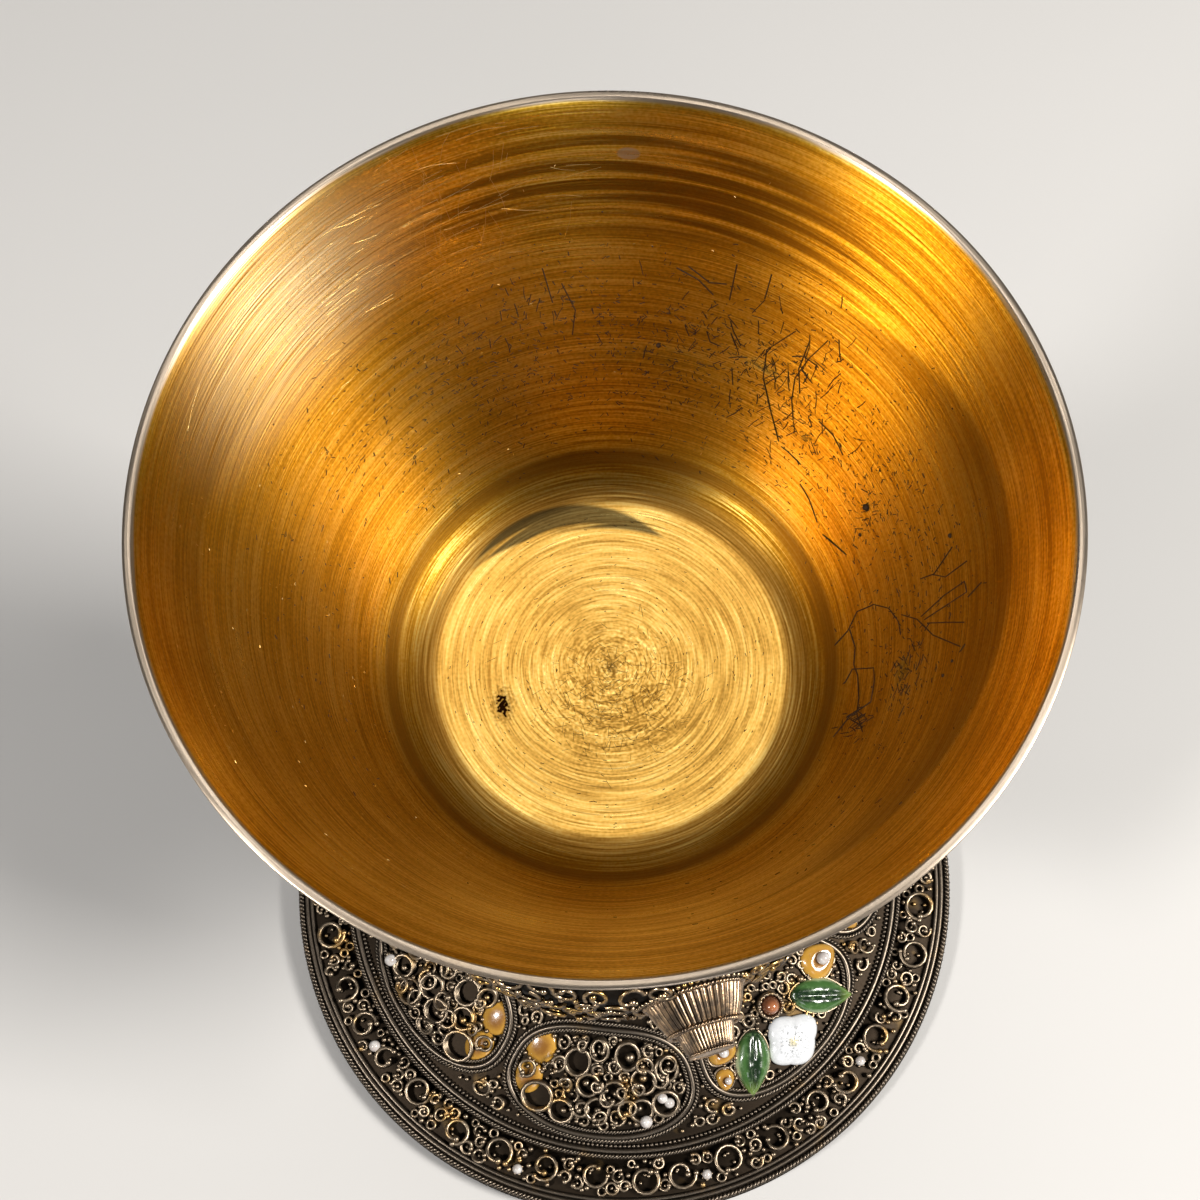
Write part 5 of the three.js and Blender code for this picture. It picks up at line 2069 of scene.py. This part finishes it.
    def _ground(self, lay: Lay) -> None:
        """Adds the wire outlines of the enamels, and granules between them."""
        work = Filigree(random.Random(90 + self.number))
        covered = [(*self.FLOWER[:2], 5.0), (*self.BEAD[:2], 2.9)]
        for ax, ay, degrees, length, width, *_ in self.SHELLS:
            covered.append((ax, ay, 0.5 * width))
            seat, shell = self._seat(ax, ay, degrees, 0.4), self._shell(length + 0.5, width + 0.5, 0)
            work.wires.append(Run([seat @ shell(point) for point in self.CIRCLE], 0.24, True))
        for lx, ly, degrees, _ in self.LEAVES:
            seat = self._seat(lx, ly, degrees, 0.4)
            edge = [seat @ (self._leaf(point) * 1.03) for point in self.CIRCLE]
            work.wires.append(Run(edge, 0.22, True))
            for step in (-3.4, 0, 3.4):
                angle = math.radians(degrees)
                covered.append((lx + step * math.cos(angle), ly + step * math.sin(angle), 2.5))
        work.fill(lay, self.REACH, self.medallions.opening(1.9), covered, self.SIZES)
        work.add(f"enamel_ground_{self.number}", self.medallions.finishes.wire, "bright_silver")


# The studio


@dataclass(frozen=True)
class Softbox:
    """A square area light that looks at the chalice. Its place is in degrees and its power in watts."""

    name: str
    azimuth: float
    elevation: float
    distance: float
    size: float
    power: float
    tint: Colour
    AIM = Vector((0.0, 0.0, 0.12))

    def build(self) -> None:
        """Hangs the light."""
        light = bpy.data.lights.new(self.name, "AREA")
        light.shape = "SQUARE"
        light.size = self.size
        light.energy = self.power
        light.color = self.tint
        holder = bpy.data.objects.new(self.name, light)
        height = math.radians(self.elevation)
        away, up = self.distance * math.cos(height), self.distance * math.sin(height)
        place = polar(away, math.radians(self.azimuth), up)
        holder.matrix_world = (-place).to_track_quat("-Z", "Y").to_matrix().to_4x4()
        holder.location = place + self.AIM
        bpy.context.collection.objects.link(holder)


@dataclass
class Studio:
    """The floor, the lights and the camera. The camera's angles are in radians."""

    floor_size: float = 6.0
    eye: tuple[float, float, float] = (0.0, -0.0781, 0.3859)
    elevation: float = 1.2321
    yaw: float = -0.0116
    roll: float = -0.0667
    focal_length: float = 60
    sensor_width: float = 36
    room_tint: Colour = (0.95, 0.97, 1.0)
    room_light: float = 0.068
    SOFTBOXES = (
        Softbox("key", 74, 40, 0.9, 0.26, 11.0, (1.0, 0.97, 0.92)),
        Softbox("side", -62, 42, 0.9, 0.14, 4.6, (1.0, 0.97, 0.93)),
        Softbox("over", 180, 71, 0.9, 0.30, 0.72, (1.0, 0.97, 0.92)),
        Softbox("front", 5, 24, 1.0, 0.3, 0.8, (0.97, 0.98, 1.0)),
    )

    def build(self) -> None:
        """Sets up the studio."""
        self._camera()
        self._floor()
        self._lights()

    def _camera(self) -> None:
        """Puts the camera where it looks down into the cup, a little tilted."""
        level, sin, cos = math.cos(self.elevation), math.sin(self.yaw), math.cos(self.yaw)
        ahead = Vector((sin * level, cos * level, -math.sin(self.elevation)))
        right = Vector((cos, -sin, 0.0))
        up = right.cross(ahead)
        x = right * math.cos(self.roll) + up * math.sin(self.roll)
        y = up * math.cos(self.roll) - right * math.sin(self.roll)
        lens = bpy.data.cameras.new("camera")
        lens.lens = self.focal_length
        lens.sensor_width = self.sensor_width
        lens.sensor_fit = "HORIZONTAL"
        lens.clip_start = 0.01
        holder = bpy.data.objects.new("camera", lens)
        holder.matrix_world = Matrix((x, y, -ahead)).transposed().to_4x4()
        holder.location = self.eye
        bpy.context.collection.objects.link(holder)
        bpy.context.scene.camera = holder

    def _floor(self) -> None:
        """Lays the floor."""
        mesh = bmesh.new()
        bmesh.ops.create_grid(mesh, x_segments=1, y_segments=1, size=self.floor_size / 2)
        data = bpy.data.meshes.new("floor")
        mesh.to_mesh(data)
        mesh.free()
        data.materials.append(Backdrop().material())
        floor = bpy.data.objects.new("floor", data)
        bpy.context.collection.objects.link(floor)

    def _lights(self) -> None:
        """Hangs the soft lights and sets the room's own light."""
        world = bpy.data.worlds.new("studio")
        world.use_nodes = True
        tint, strength = world.node_tree.nodes["Background"].inputs[:2]
        tint.default_value = (*self.room_tint, 1.0)
        strength.default_value = self.room_light
        bpy.context.scene.world = world
        bpy.context.scene.view_settings.view_transform = "Standard"
        for softbox in self.SOFTBOXES:
            softbox.build()


def main() -> None:
    """Builds the chalice around its frame."""
    logging.basicConfig(level=logging.INFO, format="%(message)s", stream=sys.stdout)
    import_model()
    Studio().build()
    finishes = Finishes(
        **{role: silver.material() for role, silver in SILVERS.items()},
        fluted=FlutedGilt().material(),
        pearl=Pearl().material(),
        enamels={kind: Enamel(kind).material() for kind in EnamelKind},
    )
    bowl = Bowl()
    bowl.build()
    BowlWear(bowl).build()
    Calyx(bowl, finishes).build()
    Stem(finishes).build()
    Knop(finishes).build()
    surface = FootSurface()
    Foot(surface, finishes).build()
    Medallions(surface, finishes).build()


if __name__ == "__main__":
    main()
